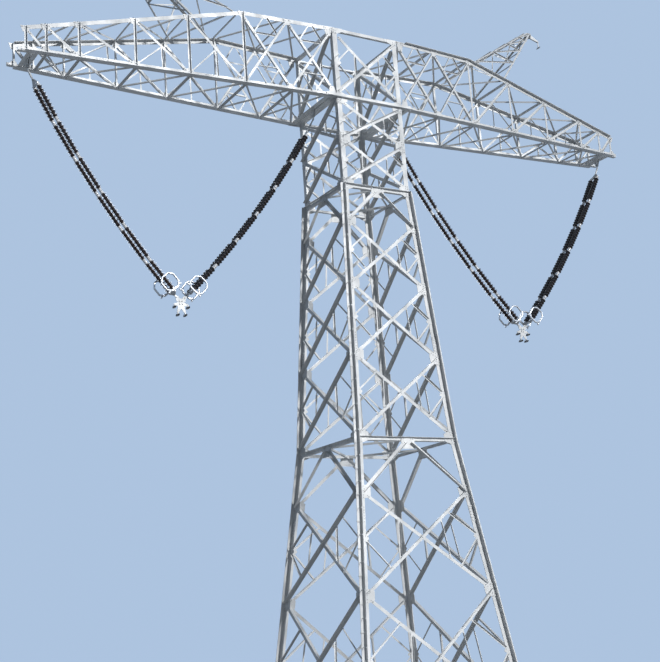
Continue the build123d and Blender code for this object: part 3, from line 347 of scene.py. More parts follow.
class Forge:
    """A mesh in the making, with the shapes that rolled, cut and turned parts have."""

    def __init__(self) -> None:
        """Starts an empty mesh."""
        self.bm = bmesh.new()

    def sweep(self, outline: Sequence[Vector], run: Vector) -> list[bmesh.types.BMVert]:
        """Draws out one flat outline.

        Args:
            outline: Corners of the section, in order.
            run: The way that the section is drawn.

        Returns:
            All corners of the new solid.
        """
        base = [self.bm.verts.new(corner) for corner in outline]
        face = self.bm.faces.new(base)
        drawn = bmesh.ops.extrude_face_region(self.bm, geom=[face])
        moved = [entry for entry in drawn["geom"] if isinstance(entry, bmesh.types.BMVert)]
        bmesh.ops.translate(self.bm, verts=moved, vec=run)
        return base + moved

    def strip(self, start: Vector, end: Vector, across: Vector, low: Vector, rise: Vector) -> None:
        """Makes a flat bar of rectangular section.

        Args:
            start: Middle of the first end.
            end: Middle of the last end.
            across: Half of the bar's width, square to its run.
            low: Offset of the bar's lower side.
            rise: Its thickness, as a vector.
        """
        corners = [start - across + low, start + across + low, start + across + low + rise,
                   start - across + low + rise]
        self.sweep(corners, end - start)

    def coped_angle(
        self, start: Vector, end: Vector, normal: Vector, flange: float, wall: float, level: float,
        copes: tuple[float, float] = (0.0, 0.0), turned: bool = False,
    ) -> None:
        """Makes a rolled angle whose upright flange is cut back at its ends.

        Args:
            start: First end, on the face.
            end: Last end, on the face.
            normal: The face's outward direction.
            flange: Width of both flanges.
            wall: Thickness of both flanges.
            level: Height of the flat flange's underside over the face.
            copes: Length without an upright flange, at each end.
            turned: Puts the upright flange on the other edge.
        """
        run = (end - start).normalized()
        across = normal.cross(run).normalized()
        self.strip(start, end, across * flange / 2, normal * level, normal * wall)
        edge = across * (flange - wall) / 2 * (-1 if turned else 1)
        self.strip(
            start + run * copes[0] + edge, end - run * copes[1] + edge, across * wall / 2,
            normal * (level + wall), normal * (flange - wall),
        )

    def plate(self, corners: Sequence[Vector], low: Vector, rise: Vector) -> None:
        """Makes a flat plate from its corners, with an offset and a thickness."""
        self.sweep([corner + low for corner in corners], rise)

    def rod(self, start: Vector, end: Vector, radius: float, sides: int = 10) -> None:
        """Makes a round or many-sided bar between two points.

        Args:
            start: Middle of the first end.
            end: Middle of the last end.
            radius: The bar's radius.
            sides: Number of its sides.
        """
        run = end - start
        turn = UP.rotation_difference(run).to_matrix().to_4x4()
        bmesh.ops.create_cone(
            self.bm, cap_ends=True, segments=sides, radius1=radius, radius2=radius, depth=run.length,
            matrix=Matrix.Translation((start + end) / 2) @ turn,
        )

    def bar(self, middle: Vector, half: Vector, radius: float, sides: int) -> None:
        """Makes a round or many-sided bar about its middle.

        Args:
            middle: The bar's middle.
            half: Run from there to its end.
            radius: The bar's radius.
            sides: Number of its sides.
        """
        self.rod(middle - half, middle + half, radius, sides)

    def stack(self, base: Vector, way: Vector, discs: Sequence[tuple[float, float, float, int]]) -> None:
        """Sets discs on a surface, such as a washer and a nut.

        Args:
            base: Place on the surface.
            way: Direction away from it.
            discs: Lower and upper height, radius and number of sides of each.
        """
        for low, high, radius, sides in discs:
            self.rod(base + way * low, base + way * high, radius, sides)

    def turned(self, profile: Sequence[tuple[float, float]], place: Matrix, sides: int = 16) -> None:
        """Spins a profile about the local Z axis.

        Args:
            profile: Radius and height of each point, from one end to the other.
            place: Where the turned shape goes.
            sides: Number of its sides.
        """
        verts = [self.bm.verts.new((radius, 0.0, height)) for radius, height in profile]
        edges = [self.bm.edges.new(pair) for pair in zip(verts[:-1], verts[1:])]
        before = set(self.bm.verts) - set(verts)
        bmesh.ops.spin(
            self.bm, geom=verts + edges, cent=(0, 0, 0), axis=(0, 0, 1), angle=2 * math.pi,
            steps=sides, use_merge=True,
        )
        made = [vert for vert in self.bm.verts if vert not in before]
        bmesh.ops.remove_doubles(self.bm, verts=made, dist=1e-6)
        made = [vert for vert in self.bm.verts if vert not in before]
        bmesh.ops.transform(self.bm, matrix=place, verts=made)

    def stamp(self, pattern: Mesh, place: Matrix) -> None:
        """Adds a copy of a finished mesh.

        Args:
            pattern: The mesh to repeat.
            place: Where the copy goes.
        """
        copy = pattern.copy()
        copy.transform(place)
        self.bm.from_mesh(copy)
        bpy.data.meshes.remove(copy)

    def repeated(self, quarters: int, steps: int) -> None:
        """Repeats everything made so far about the tower's axis.

        Args:
            quarters: Quarter turns to the last copy.
            steps: Number of copies.
        """
        bmesh.ops.spin(
            self.bm, geom=self.everything(), cent=(0, 0, 0), axis=(0, 0, 1), angle=quarters * QUARTER,
            steps=steps, use_duplicate=True,
        )

    def everything(self) -> list[bmesh.types.BMVert | bmesh.types.BMEdge | bmesh.types.BMFace]:
        """All that has been made so far."""
        return self.bm.verts[:] + self.bm.edges[:] + self.bm.faces[:]

    def around_tower(self) -> None:
        """Repeats everything made so far on the tower's other three faces."""
        self.repeated(3, 3)

    def half_turn(self) -> None:
        """Repeats everything made so far on the far side of the tower's axis."""
        self.repeated(2, 1)

    def mirrored(self, axis: str) -> None:
        """Repeats everything made so far on the other side of a plane.

        Args:
            axis: X for the plane between the arms, Y for the one along them.
        """
        flip = Matrix.Scale(-1.0, 4, Vector((1, 0, 0)) if axis == "X" else ALONG_LINE)
        copied = bmesh.ops.duplicate(self.bm, geom=self.everything())
        made = [entry for entry in copied["geom"] if isinstance(entry, bmesh.types.BMVert)]
        bmesh.ops.transform(self.bm, matrix=flip, verts=made)

    def mesh(self, name: str, smooth_below: float | None = None) -> Mesh:
        """Closes the work and gives the finished mesh.

        Args:
            name: The mesh's name.
            smooth_below: Angle in degrees under which edges look rounded.

        Returns:
            The mesh, with its faces pointing outwards.
        """
        bmesh.ops.recalc_face_normals(self.bm, faces=self.bm.faces[:])
        if smooth_below is not None:
            for face in self.bm.faces:
                face.smooth = True
        mesh = bpy.data.meshes.new(name)
        self.bm.to_mesh(mesh)
        self.bm.free()
        if smooth_below is not None:
            mesh.set_sharp_from_angle(angle=math.radians(smooth_below))
        return mesh

    def piece(self, name: str, body: Body, smooth_below: float | None = None) -> bpy.types.Object:
        """Makes the work a piece that rides on a body.

        Args:
            name: The piece's name.
            body: The body it moves with.
            smooth_below: Angle in degrees under which edges look rounded.

        Returns:
            The new object.
        """
        piece = bpy.data.objects.new(name, self.mesh(name, smooth_below))
        bpy.context.scene.collection.objects.link(piece)
        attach(piece, body.value)
        LOG.info("%s: %d faces, rides on %s", name, len(piece.data.polygons), body.value)
        return piece


def pointing(place: Vector, direction: Vector) -> Matrix:
    """Placement of a pattern whose own Z axis turns to a direction."""
    turn = UP.rotation_difference(direction).to_matrix().to_4x4()
    return Matrix.Translation(place) @ turn


@dataclass(frozen=True)
class Bolt:
    """Hexagon head on a round washer."""

    across_corners: float = 0.036
    head: float = 0.015
    washer: float = 0.021
    washer_wall: float = 0.004

    def pattern(self) -> Mesh:
        """Mesh of the bolt's head, standing on the plane it is tightened on."""
        forge, wall = Forge(), self.washer_wall
        forge.stack(Vector(), UP, (
            (0.0, wall, self.washer, 10), (wall, wall + self.head, self.across_corners / 2, 6),
        ))
        return forge.mesh("bolt_pattern")


@dataclass(frozen=True)
class Face:
    """A flat side of the tower or of an arm, with its own coordinates."""

    origin: Vector
    right: Vector
    rise: Vector
    normal: Vector

    def at(self, x: float, y: float, level: float = 0.0) -> Vector:
        """Point at a place on the face, at a height over it."""
        return self.origin + self.right * x + self.rise * y + self.normal * level


@dataclass(frozen=True)
class Section:
    """A stretch of the body between two bends of its legs, on the front face."""

    face: Face
    top: float
    panels: tuple[float, ...]
    batter: float
    gap: float
    v_first: bool

    @property
    def stretch(self) -> float:
        """Length on the leaning face of one unit of height."""
        return math.sqrt(1 + self.batter ** 2)

    @property
    def ends(self) -> list[float]:
        """Levels between which its panels lie, from the top down."""
        return [self.top - sum(self.panels[:count]) for count in range(len(self.panels) + 1)]

    @property
    def levels(self) -> list[float]:
        """Levels between which the braces of its panels run."""
        ends = self.ends
        return [self.top - self.gap] + ends[1:-1] + [ends[-1] + self.gap]

    def half(self, level: float) -> float:
        """Distance from the face's middle to the legs' outer edges at a level."""
        return -self.face.origin.y + self.batter * (self.face.origin.z - level)

    def spot(self, reach: float, level: float) -> Vector:
        """Place on the face, at a distance from its middle and at a level."""
        return Vector((reach, (level - self.face.origin.z) * self.stretch))


@dataclass(frozen=True)
class TowerShape:
    """The tower's main dimensions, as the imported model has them."""

    top: float = 25.2
    arm_depth: float = 2.68
    upper_panels: tuple[float, ...] = (1.5, 1.68)
    middle_panels: tuple[float, ...] = (1.36, 2.28, 2.49, 2.75)
    lower_panels: tuple[float, ...] = (1.82, 3.23, 4.35)
    half: float = 1.35
    middle_batter: float = 0.062
    lower_batter: float = 0.121
    leg_flange: float = 0.18
    outer_flange: float = 0.14
    gusset: float = 0.012
    brace: float = 0.112
    brace_wall: float = 0.008
    rail_drop: float = 0.071
    arm_gap: float = 0.21
    bend_gap: float = 0.09
    shoe_wall: float = 0.032
    anchor_spacing: float = 0.4

    @property
    def waist(self) -> float:
        """Level where the legs start to spread."""
        return self.top - sum(self.upper_panels)

    @property
    def knee(self) -> float:
        """Level where the legs spread faster."""
        return self.waist - sum(self.middle_panels)

    @property
    def base(self) -> float:
        """Level of the lowest frame."""
        return self.knee - sum(self.lower_panels)

    @property
    def arm_top(self) -> float:
        """Level of the arms' top chords beside the tower."""
        return self.top + self.arm_depth

    def half_width(self, level: float) -> float:
        """Distance from the axis to the legs' outer faces at a level."""
        middle = min(max(self.waist - level, 0.0), self.waist - self.knee)
        return self.half + self.middle_batter * middle + self.lower_batter * max(self.knee - level, 0.0)

    def face(self, level: float, batter: float) -> Face:
        """Front face of a section that starts at a level."""
        normal = Vector((0.0, -1.0, batter)).normalized()
        return Face(
            Vector((0.0, -self.half_width(level), level)), Vector((1, 0, 0)),
            normal.cross(Vector((1, 0, 0))), normal,
        )

    def sections(self) -> Iterator[Section]:
        """Sections from the crossarm down; the lower two start with an inverted V."""
        for top, panels, batter, gap, v_first in (
            (self.arm_top, (self.arm_depth,), 0.0, self.arm_gap, False),
            (self.top, self.upper_panels, 0.0, self.bend_gap, False),
            (self.waist, self.middle_panels, self.middle_batter, self.bend_gap, True),
            (self.knee, self.lower_panels, self.lower_batter, self.bend_gap, True),
        ):
            yield Section(self.face(top, batter), top, panels, batter, gap, v_first)


@dataclass
class BodyRedundants:
    """Light angles that steady the legs and the crossing braces of the body."""

    shape: TowerShape
    flange: float = 0.06
    wall: float = 0.006
    share: float = 0.45
    post_share: float = 0.6
    leg_cope: float = 0.04
    brace_cope: float = 0.13
    plate_reach: float = 0.24
    plate_shoulder: float = 0.13
    plate_tall: float = 0.09
    heel_inset: float = 0.03

    def build(self, palette: Palette) -> None:
        """Makes the bars on the front face and repeats them round the tower.

        Args:
            palette: The finishes.
        """
        forge = Forge()
        for section in self.shape.sections():
            levels = section.levels
            for count in range(1 if section.v_first else 0, len(section.panels)):
                for side in SIDES:
                    self.side_bars(forge, section, levels[count], levels[count + 1], side)
        forge.around_tower()
        palette.dress(forge.piece("body_redundants", Body.TOWER), "hot_dip_zinc")

    def side_bars(self, forge: Forge, section: Section, top: float, bottom: float, side: int) -> None:
        """Makes the three bars beside one crossing, and their plate on the leg.

        Args:
            forge: The mesh to add to.
            section: The section of the body.
            top: Upper level of the panel.
            bottom: Lower level of the panel.
            side: Which leg, by the sign of X.
        """
        face, inset = section.face, self.shape.leg_flange / 2
        upper, lower = section.half(top) - inset, section.half(bottom) - inset
        corner_up, corner_low = section.spot(side * upper, top), section.spot(side * lower, bottom)
        share = upper / (upper + lower)
        cross = Vector((0.0, corner_up.y * (1 - share) + corner_low.y * share))
        cross_level = face.origin.z + cross.y / section.stretch
        foot = section.spot(side * (section.half(cross_level) - inset), cross_level)
        for corner, outer_bar in ((corner_up, side > 0), (corner_low, side < 0)):
            node = corner.lerp(cross, self.share)
            start = foot + (node - foot).normalized() * inset
            forge.coped_angle(
                face.at(*start), face.at(*node), face.normal, self.flange, self.wall, self.wall,
                (self.leg_cope, self.brace_cope if outer_bar else 0.0),
                turned=(corner is corner_up) == (side > 0),
            )
        ends = [corner.lerp(cross, self.post_share) for corner in (corner_low, corner_up)]
        forge.coped_angle(
            face.at(*ends[0]), face.at(*ends[1]), face.normal, self.flange, self.wall, self.wall,
            (self.brace_cope, self.brace_cope), turned=side < 0,
        )
        tall = self.plate_tall
        heel = section.spot(side * (section.half(cross_level) - self.heel_inset), cross_level)
        forge.plate([face.at(*(heel + Vector((-side * reach, rise)))) for reach, rise in (
            (0.0, -tall), (self.plate_shoulder, -tall), (self.plate_reach, -tall / 3),
            (self.plate_reach, tall / 3), (self.plate_shoulder, tall), (0.0, tall),
        )], Vector(), face.normal * self.wall)


@dataclass(frozen=True)
class ArmShape:
    """The crossarms' main dimensions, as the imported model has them."""

    tower: TowerShape
    bays: tuple[float, ...] = (1.75, 1.7, 1.99, 1.85, 1.85, 1.05, 0.64)
    kink_bay: int = 2
    tip_depth: float = 0.86
    tip_half: float = 0.64
    chord: float = 0.14

    @property
    def tip_x(self) -> float:
        """Distance of the arm's tip from the tower's axis."""
        return self.tower.half + sum(self.bays)

    def node_x(self, count: int) -> float:
        """Distance of a node from the tower's axis, counted outwards from the leg."""
        return self.tower.half + sum(self.bays[:count])

    def half_width(self, x: float) -> float:
        """Distance of the arm's outer faces from its middle plane."""
        return self.tower.half + (self.tip_half - self.tower.half) * (x - self.tower.half) / sum(self.bays)

    def top_rise(self, x: float) -> float:
        """Height of the top chord over the bottom chord."""
        kink = self.node_x(self.kink_bay)
        fall = (self.tower.arm_depth - self.tip_depth) / (self.tip_x - kink)
        return self.tower.arm_depth - max(x - kink, 0.0) * fall

    def face(self, hand: Hand) -> Face:
        """Front face of one arm, measured outwards from the leg."""
        run, taper = sum(self.bays), self.tower.half - self.tip_half
        right = Vector((hand.value * run, taper, 0)).normalized()
        normal = Vector((hand.value * taper, -run, 0)).normalized()
        start = Vector((hand.value * self.tower.half, -self.tower.half, self.tower.top))
        return Face(start, right, UP.copy(), normal)

    def station(self, count: int) -> float:
        """Distance of a node along the face."""
        run, taper = sum(self.bays), self.tower.half - self.tip_half
        return sum(self.bays[:count]) * math.hypot(run, taper) / run

    def nodes(self, count: int) -> tuple[Vector, Vector]:
        """Bottom and top brace nodes, in the face's own coordinates."""
        rise = self.top_rise(self.node_x(count))
        x = self.station(count)
        return Vector((x, self.chord / 2)), Vector((x, rise - self.chord / 2))


@dataclass
class ArmRedundants:
    """Light angles inside the crossarms' panels."""

    shape: ArmShape
    flange: float = 0.05
    wall: float = 0.005
    cope: float = 0.08
    lap: float = 0.03
    chord_lap: float = 0.02

    def build(self, palette: Palette) -> None:
        """Makes the bars of one truss face and repeats them on the other three.

        Args:
            palette: The finishes.
        """
        forge = Forge()
        face = self.shape.face(Hand.RIGHT)
        for count in range(self.shape.kink_bay):
            self.crossed_bay(forge, face, count)
        for count in range(self.shape.kink_bay, len(self.shape.bays) - 2):
            self.single_bay(forge, face, count)
        forge.mirrored("Y")
        forge.mirrored("X")
        palette.dress(forge.piece("arm_redundants", Body.TOWER), "hot_dip_zinc")

    def light(
        self, forge: Forge, face: Face, start: Vector, end: Vector, level: float, turned: bool = False,
    ) -> None:
        """Makes one light angle between two places of the face.

        Args:
            forge: The mesh to add to.
            face: The truss face.
            start: First place.
            end: Last place.
            level: Height of its flat flange over the face.
            turned: Puts the upright flange on the other edge.
        """
        forge.coped_angle(
            face.at(*start), face.at(*end), face.normal, self.flange, self.wall, level,
            (self.cope, self.cope), turned,
        )

    def crossed_bay(self, forge: Forge, face: Face, count: int) -> None:
        """Adds the bars of a bay with two crossing braces.

        Args:
            forge: The mesh to add to.
            face: The truss face.
            count: The bay, counted from the tower.
        """
        bottom_in, top_in = self.shape.nodes(count)
        bottom_out, top_out = self.shape.nodes(count + 1)
        centre = (bottom_in + top_out) / 2
        upper_in, upper_out = top_in.lerp(centre, 0.5), top_out.lerp(centre, 0.5)
        lower_in, lower_out = bottom_in.lerp(centre, 0.5), bottom_out.lerp(centre, 0.5)
        top_middle, bottom_middle = (top_in + top_out) / 2, (bottom_in + bottom_out) / 2
        lap = Vector((0.0, self.lap))
        for low, sign in ((upper_in, 1), (upper_out, -1)):
            head = top_middle + Vector((-sign * self.lap, self.chord_lap))
            self.light(forge, face, low, head, 0.0, sign < 0)
        for high, sign in ((lower_in, 1), (lower_out, -1)):
            foot = bottom_middle + Vector((-sign * self.lap, -self.chord_lap))
            self.light(forge, face, foot, high, 0.0, sign < 0)
        self.light(forge, face, upper_in - lap, upper_out - lap, self.wall)
        self.light(forge, face, lower_in + lap, lower_out + lap, self.wall, True)

    def single_bay(self, forge: Forge, face: Face, count: int) -> None:
        """Adds the bars of a bay with one brace.

        Args:
            forge: The mesh to add to.
            face: The truss face.
            count: The bay, counted from the tower.
        """
        bottom_in, _ = self.shape.nodes(count)
        bottom_out, top_out = self.shape.nodes(count + 1)
        middle = (bottom_in + top_out) / 2
        self.light(forge, face, bottom_out, middle, 0.0)
        foot = Vector((middle.x, bottom_out.y - self.lap))
        self.light(forge, face, foot, middle + Vector((self.lap, 0.0)), self.wall)


@dataclass
class ChordFlanges:
    """Outward flanges of the arms' chords; the lower ones run on across the body's front and rear."""

    tower: TowerShape
    arm: ArmShape
    reach: float = 0.11
    wall: float = 0.012
    over: float = 0.021
    lap: float = 0.42

    def build(self, palette: Palette) -> None:
        """Makes the flanges of both arms.

        Args:
            palette: The finishes.
        """
        self.lower(palette)
        self.upper(palette)

    def upper(self, palette: Palette) -> None:
        """Makes the upper flanges, on the right arm's front and the left arm's rear.

        Args:
            palette: The finishes.
        """
        forge = Forge()
        face = self.arm.face(Hand.RIGHT)
        kink, last = self.arm.kink_bay, len(self.arm.bays)
        places = (self.lap, 0), (self.arm.station(kink), kink), (self.arm.station(last), last)
        tops = []
        for place, count in places:
            rise = self.arm.top_rise(self.arm.node_x(count))
            tops.append(face.at(place, rise - self.wall / 2))
        for start, end in zip(tops[:-1], tops[1:]):
            forge.strip(start, end, UP * self.wall / 2, Vector(), face.normal * self.reach)
        forge.half_turn()
        palette.dress(forge.piece("top_chord_flanges", Body.TOWER), "hot_dip_zinc")

    def lower(self, palette: Palette) -> None:
        """Makes the lower flanges and the angle that joins them over the legs.

        Args:
            palette: The finishes.
        """
        forge = Forge()
        rise = UP * self.wall / 2
        for hand in Hand:
            face = self.arm.face(hand)
            tip = self.arm.station(len(self.arm.bays))
            start, end = (face.at(x, self.wall / 2) for x in (self.lap, tip))
            forge.strip(start, end, rise, Vector(), face.normal * self.reach)
        out = Vector((0, -1, 0))
        half = self.tower.half + self.lap
        low, high = self.tower.top + self.wall / 2, self.tower.top + self.arm.chord / 2
        ends = [Vector((sign * half, -self.tower.half, 0.0)) for sign in SIDES]
        for level, across, wall in (
            (low, rise, self.reach - self.over), (high, UP * self.arm.chord / 2, self.wall),
        ):
            start, end = (place + UP * level for place in ends)
            forge.strip(start, end, across, out * self.over, out * wall)
        forge.mirrored("Y")
        palette.dress(forge.piece("chord_flanges", Body.TOWER), "hot_dip_zinc")


@dataclass
class RailFlanges:
    """Outward flanges on top of the rails at the waist, the knee and the base."""

    shape: TowerShape
    reach: float = 0.1
    wall: float = 0.01
    proud: float = 0.013
    inset: float = 0.02

    def build(self, palette: Palette) -> None:
        """Makes the flanges on all faces.

        Args:
            palette: The finishes.
        """
        forge = Forge()
        out = Vector((0, -1, 0))
        for level in (self.shape.waist, self.shape.knee, self.shape.base):
            top = level - self.shape.rail_drop + self.shape.brace / 2
            half = self.shape.half_width(top)
            ends = [Vector((sign * (half - self.inset), -half, top)) for sign in SIDES]
            forge.strip(*ends, UP * self.wall / 2, out * self.proud, out * (self.reach - self.proud))
        forge.around_tower()
        palette.dress(forge.piece("rail_flanges", Body.TOWER), "hot_dip_zinc")


@dataclass
class BoltSetter:
    """Sets bolts on one face."""

    forge: Forge
    bolt: Mesh
    face: Face
    pitch: float

    def row(self, start: Vector, way: Vector, count: int, level: float) -> None:
        """Sets bolts in a line.

        Args:
            start: Place of the first one.
            way: Direction of the line.
            count: How many.
            level: Height of the surface under them.
        """
        step = way.normalized() * self.pitch
        for index in range(count):
            self.one(start + step * index, level)

    def one(self, spot: Vector, level: float) -> None:
        """Sets one bolt at a place, on a surface of that height."""
        self.forge.stamp(self.bolt, pointing(self.face.at(spot.x, spot.y, level), self.face.normal))


@dataclass
class JointBolts:
    """Bolt heads on the gussets, where braces and legs are joined."""

    tower: TowerShape
    arm: ArmShape
    pitch: float = 0.075
    leg_rows: tuple[float, ...] = (0.055, 0.13)
    leg_rises: tuple[float, ...] = (-0.18, -0.1, 0.1, 0.18)
    inner_start: float = 0.21
    outer_start: float = 0.06
    apex_start: float = 0.19
    rail_start: float = 0.14
    root_start: float = 0.33
    crossed_start: float = 0.17
    over_start: float = 0.05
    under_start: float = 0.16
    chord_row: float = 0.02
    chord_places: tuple[float, ...] = (-0.12, -0.075, 0.075, 0.12)
    root_places: tuple[float, ...] = (0.04, 0.1, 0.24, 0.3)

    @property
    def outer(self) -> float:
        """Height over the face of a brace that lies on a gusset."""
        return self.tower.gusset + self.tower.brace_wall

    def build(self, palette: Palette) -> None:
        """Sets the bolts of the body and of the arms.

        Args:
            palette: The finishes.
        """
        bolt = Bolt().pattern()
        body, arms = Forge(), Forge()
        for section in self.tower.sections():
            self.section(BoltSetter(body, bolt, section.face, self.pitch), section)
        body.around_tower()
        palette.dress(body.piece("body_bolts", Body.TOWER), "dull_zinc")
        for hand, rising_outside in ((Hand.RIGHT, True), (Hand.LEFT, False)):
            self.truss(BoltSetter(arms, bolt, self.arm.face(hand), self.pitch), rising_outside)
        arms.half_turn()
        palette.dress(arms.piece("arm_bolts", Body.TOWER), "dull_zinc")

    def section(self, setter: BoltSetter, section: Section) -> None:
        """Sets the bolts of one section of the front face.

        Args:
            setter: Sets bolts on the section's face.
            section: The section.
        """
        levels = section.levels
        for count, (high, low) in enumerate(zip(levels[:-1], levels[1:])):
            if section.v_first and count == 0:
                self.v_panel(setter, section, low)
            else:
                self.crossed_panel(setter, section, high, low)
        self.leg_bolts(setter, section)

    def v_panel(self, setter: BoltSetter, section: Section, low: float) -> None:
        """Sets the bolts of an inverted V and of the middle of the rail over it.

        Args:
            setter: Sets bolts on the section's face.
            section: The section.
            low: Lower level of the panel.
        """
        lower = section.half(low) - self.tower.leg_flange / 2
        rail = section.top - self.tower.rail_drop
        apex = section.spot(0.0, rail)
        for side in SIDES:
            foot = section.spot(side * lower, low)
            way = (foot - apex).normalized()
            setter.row(apex + way * self.apex_start, way, 2, self.outer)
            setter.row(foot - way * self.outer_start, -way, 3, self.outer)
            start = section.spot(side * self.rail_start, rail)
            setter.row(start, Vector((side, 0)), 2, self.tower.gusset)

    def crossed_panel(self, setter: BoltSetter, section: Section, high: float, low: float) -> None:
        """Sets the bolts of two crossing braces.

        Args:
            setter: Sets bolts on the section's face.
            section: The section.
            high: Upper level of the panel.
            low: Its lower level.
        """
        inset = self.tower.leg_flange / 2
        upper, lower = section.half(high) - inset, section.half(low) - inset
        a, b = section.spot(-upper, high), section.spot(lower, low)
        c, d = section.spot(upper, high), section.spot(-lower, low)
        way, back = (b - a).normalized(), (d - c).normalized()
        for start, run in ((a, way), (b, -way)):
            setter.row(start + run * self.inner_start, run, 2, self.tower.gusset)
        for start, run in ((c, back), (d, -back)):
            setter.row(start + run * self.outer_start, run, 3, self.outer)
        setter.one(c.lerp(d, upper / (upper + lower)), self.outer)

    def leg_bolts(self, setter: BoltSetter, section: Section) -> None:
        """Sets the bolts that hold the gussets on the legs.

        Args:
            setter: Sets bolts on the section's face.
            section: The section.
        """
        ends = section.ends
        for side in SIDES:
            for count, level in enumerate(ends):
                for rise in self.leg_rises:
                    beyond = (rise > 0 and count == 0) or (rise < 0 and count == len(ends) - 1)
                    if beyond and level != self.tower.base:
                        continue
                    for row in self.leg_rows:
                        place = section.spot(side * (section.half(level + rise) - row), level + rise)
                        setter.one(place, self.tower.gusset)

    def truss(self, setter: BoltSetter, rising_outside: bool) -> None:
        """Sets the bolts of one arm's front truss.

        Args:
            setter: Sets bolts on the truss.
            rising_outside: Whether its rising braces lie over the gussets.
        """
        shape, gusset = self.arm, self.tower.gusset
        over, beside = (self.outer, gusset) if rising_outside else (gusset, self.outer)
        near = self.over_start if rising_outside else self.under_start
        post = self.over_start if rising_outside else -self.chord_row
        for count in range(len(shape.bays)):
            bottom_in, top_in = shape.nodes(count)
            bottom_out, top_out = shape.nodes(count + 1)
            way = (top_out - bottom_in).normalized()
            crossed = count < shape.kink_bay
            last = self.crossed_start if crossed else near
            first = self.root_start if count == 0 else last
            setter.row(bottom_in + way * first, way, 2, over)
            setter.row(top_out - way * last, -way, 2, over)
            if crossed:
                fall = (bottom_out - top_in).normalized()
                setter.row(top_in + fall * first, fall, 2, beside)
                setter.row(bottom_out - fall * last, -fall, 2, beside)
            for node, sign in ((bottom_out, 1), (top_out, -1)):
                for x in self.chord_places:
                    setter.one(node + Vector((x, -sign * self.chord_row)), gusset)
                if count + 1 >= shape.kink_bay:
                    setter.row(node + Vector((0.0, sign * post)), Vector((0, sign)), 2, beside)
        for node, sign in zip(shape.nodes(0), (1, -1)):
            for x in self.root_places:
                for y in (-self.chord_row, self.over_start):
                    setter.one(node + Vector((x, sign * y)), gusset)


@dataclass
class StepBolts:
    """Climbing bolts up the front left leg, on its two outer faces in turn."""

    shape: TowerShape
    pitch: float = 0.42
    reach: float = 0.17
    radius: float = 0.008
    first: float = 2.4
    below_top: float = 0.3
    outer_face: float = 0.008
    upper_inset: float = 0.09
    sunk: float = 0.03
    nut: tuple[float, float] = (0.014, 0.016)
    head: tuple[float, float] = (0.012, 0.018)

    def build(self, palette: Palette) -> None:
        """Makes the climbing bolts.

        Args:
            palette: The finishes.
        """
        forge = Forge()
        pattern = self.pattern()
        count = int((self.shape.arm_top - self.below_top - self.first) / self.pitch)
        for index in range(count):
            level = self.first + index * self.pitch
            heel = self.shape.half_width(level)
            aside = -self.upper_inset if level > self.shape.waist else self.shape.outer_flange / 2
            face_out = heel if level > self.shape.waist else heel + self.outer_face
            on_front = index % 2 == 0
            near, far = -heel - aside, -face_out
            place = Vector((near, far, level)) if on_front else Vector((far, near, level))
            out = Vector((0, -1, 0)) if on_front else Vector((-1, 0, 0))
            forge.stamp(pattern, pointing(place, out))
        palette.dress(forge.piece("step_bolts", Body.TOWER, ROUND_ANGLE), "dull_zinc")

    def pattern(self) -> Mesh:
        """Mesh of one step: rod, nut against the leg, and a round head."""
        forge = Forge()
        (nut_wall, nut), (head_wall, head) = self.nut, self.head
        forge.stack(Vector(), UP, (
            (-self.sunk, self.reach, self.radius, 8), (0.0, nut_wall, nut, 6),
            (self.reach, self.reach + head_wall, head, 10),
        ))
        return forge.mesh("step_pattern")


@dataclass
class FootBolts:
    """Anchor bolts with washers and double nuts on the four shoes."""

    shape: TowerShape
    radius: float = 0.02
    stand: float = 0.16
    sunk: float = 0.002
    washer: tuple[float, float] = (0.008, 0.048)
    nut: float = 0.038
    nut_levels: tuple[tuple[float, float], ...] = ((0.008, 0.042), (0.044, 0.072))

    def build(self, palette: Palette) -> None:
        """Makes the anchor bolts.

        Args:
            palette: The finishes.
        """
        forge = Forge()
        centre = self.shape.half_width(self.shape.shoe_wall) - self.shape.leg_flange / 2
        half = self.shape.anchor_spacing / 2
        top = self.shape.shoe_wall
        discs = [(self.sunk - top, self.stand, self.radius, 14), (0.0, *self.washer, 20)]
        discs += [(low, high, self.nut, 6) for low, high in self.nut_levels]
        for dx in (-half, half):
            for dy in (-half, half):
                forge.stack(Vector((-centre + dx, -centre + dy, top)), UP, discs)
        forge.around_tower()
        palette.dress(forge.piece("anchor_bolts", Body.TOWER, NUT_ANGLE), "dull_zinc")


@dataclass(frozen=True)
class StringLine:
    """One sagging arm of a V set, in the plane across the line."""

    hanger_x: float
    yoke_x: float
    eye_foot: float = 24.892
    yoke_level: float = 17.84011
    bow: float = math.radians(7.5)
    lower_link: float = 0.2
    units: int = 6
    unit: float = 1.3

    def at(self, distance: float) -> Vector:
        """Point on the line at a distance from its upper end."""
        start = Vector((self.hanger_x, 0.0, self.eye_foot))
        chord = Vector((self.yoke_x, 0.0, self.yoke_level)) - start
        radius = chord.length / (2 * math.sin(self.bow))
        turn = distance / radius
        along = radius * (math.sin(self.bow) - math.sin(self.bow - turn))
        dip = radius * (math.cos(self.bow - turn) - math.cos(self.bow))
        down = Vector((chord.z, 0, -chord.x)) if chord.x > 0 else Vector((-chord.z, 0, chord.x))
        return start + chord.normalized() * along + down.normalized() * dip

    def joints(self) -> list[Vector]:
        """Points where the units meet, from the upper end down."""
        chord = Vector((self.yoke_x - self.hanger_x, 0.0, self.yoke_level - self.eye_foot)).length
        top_link = chord * self.bow / math.sin(self.bow) - self.lower_link - self.units * self.unit
        return [self.at(top_link + count * self.unit) for count in range(self.units + 1)]


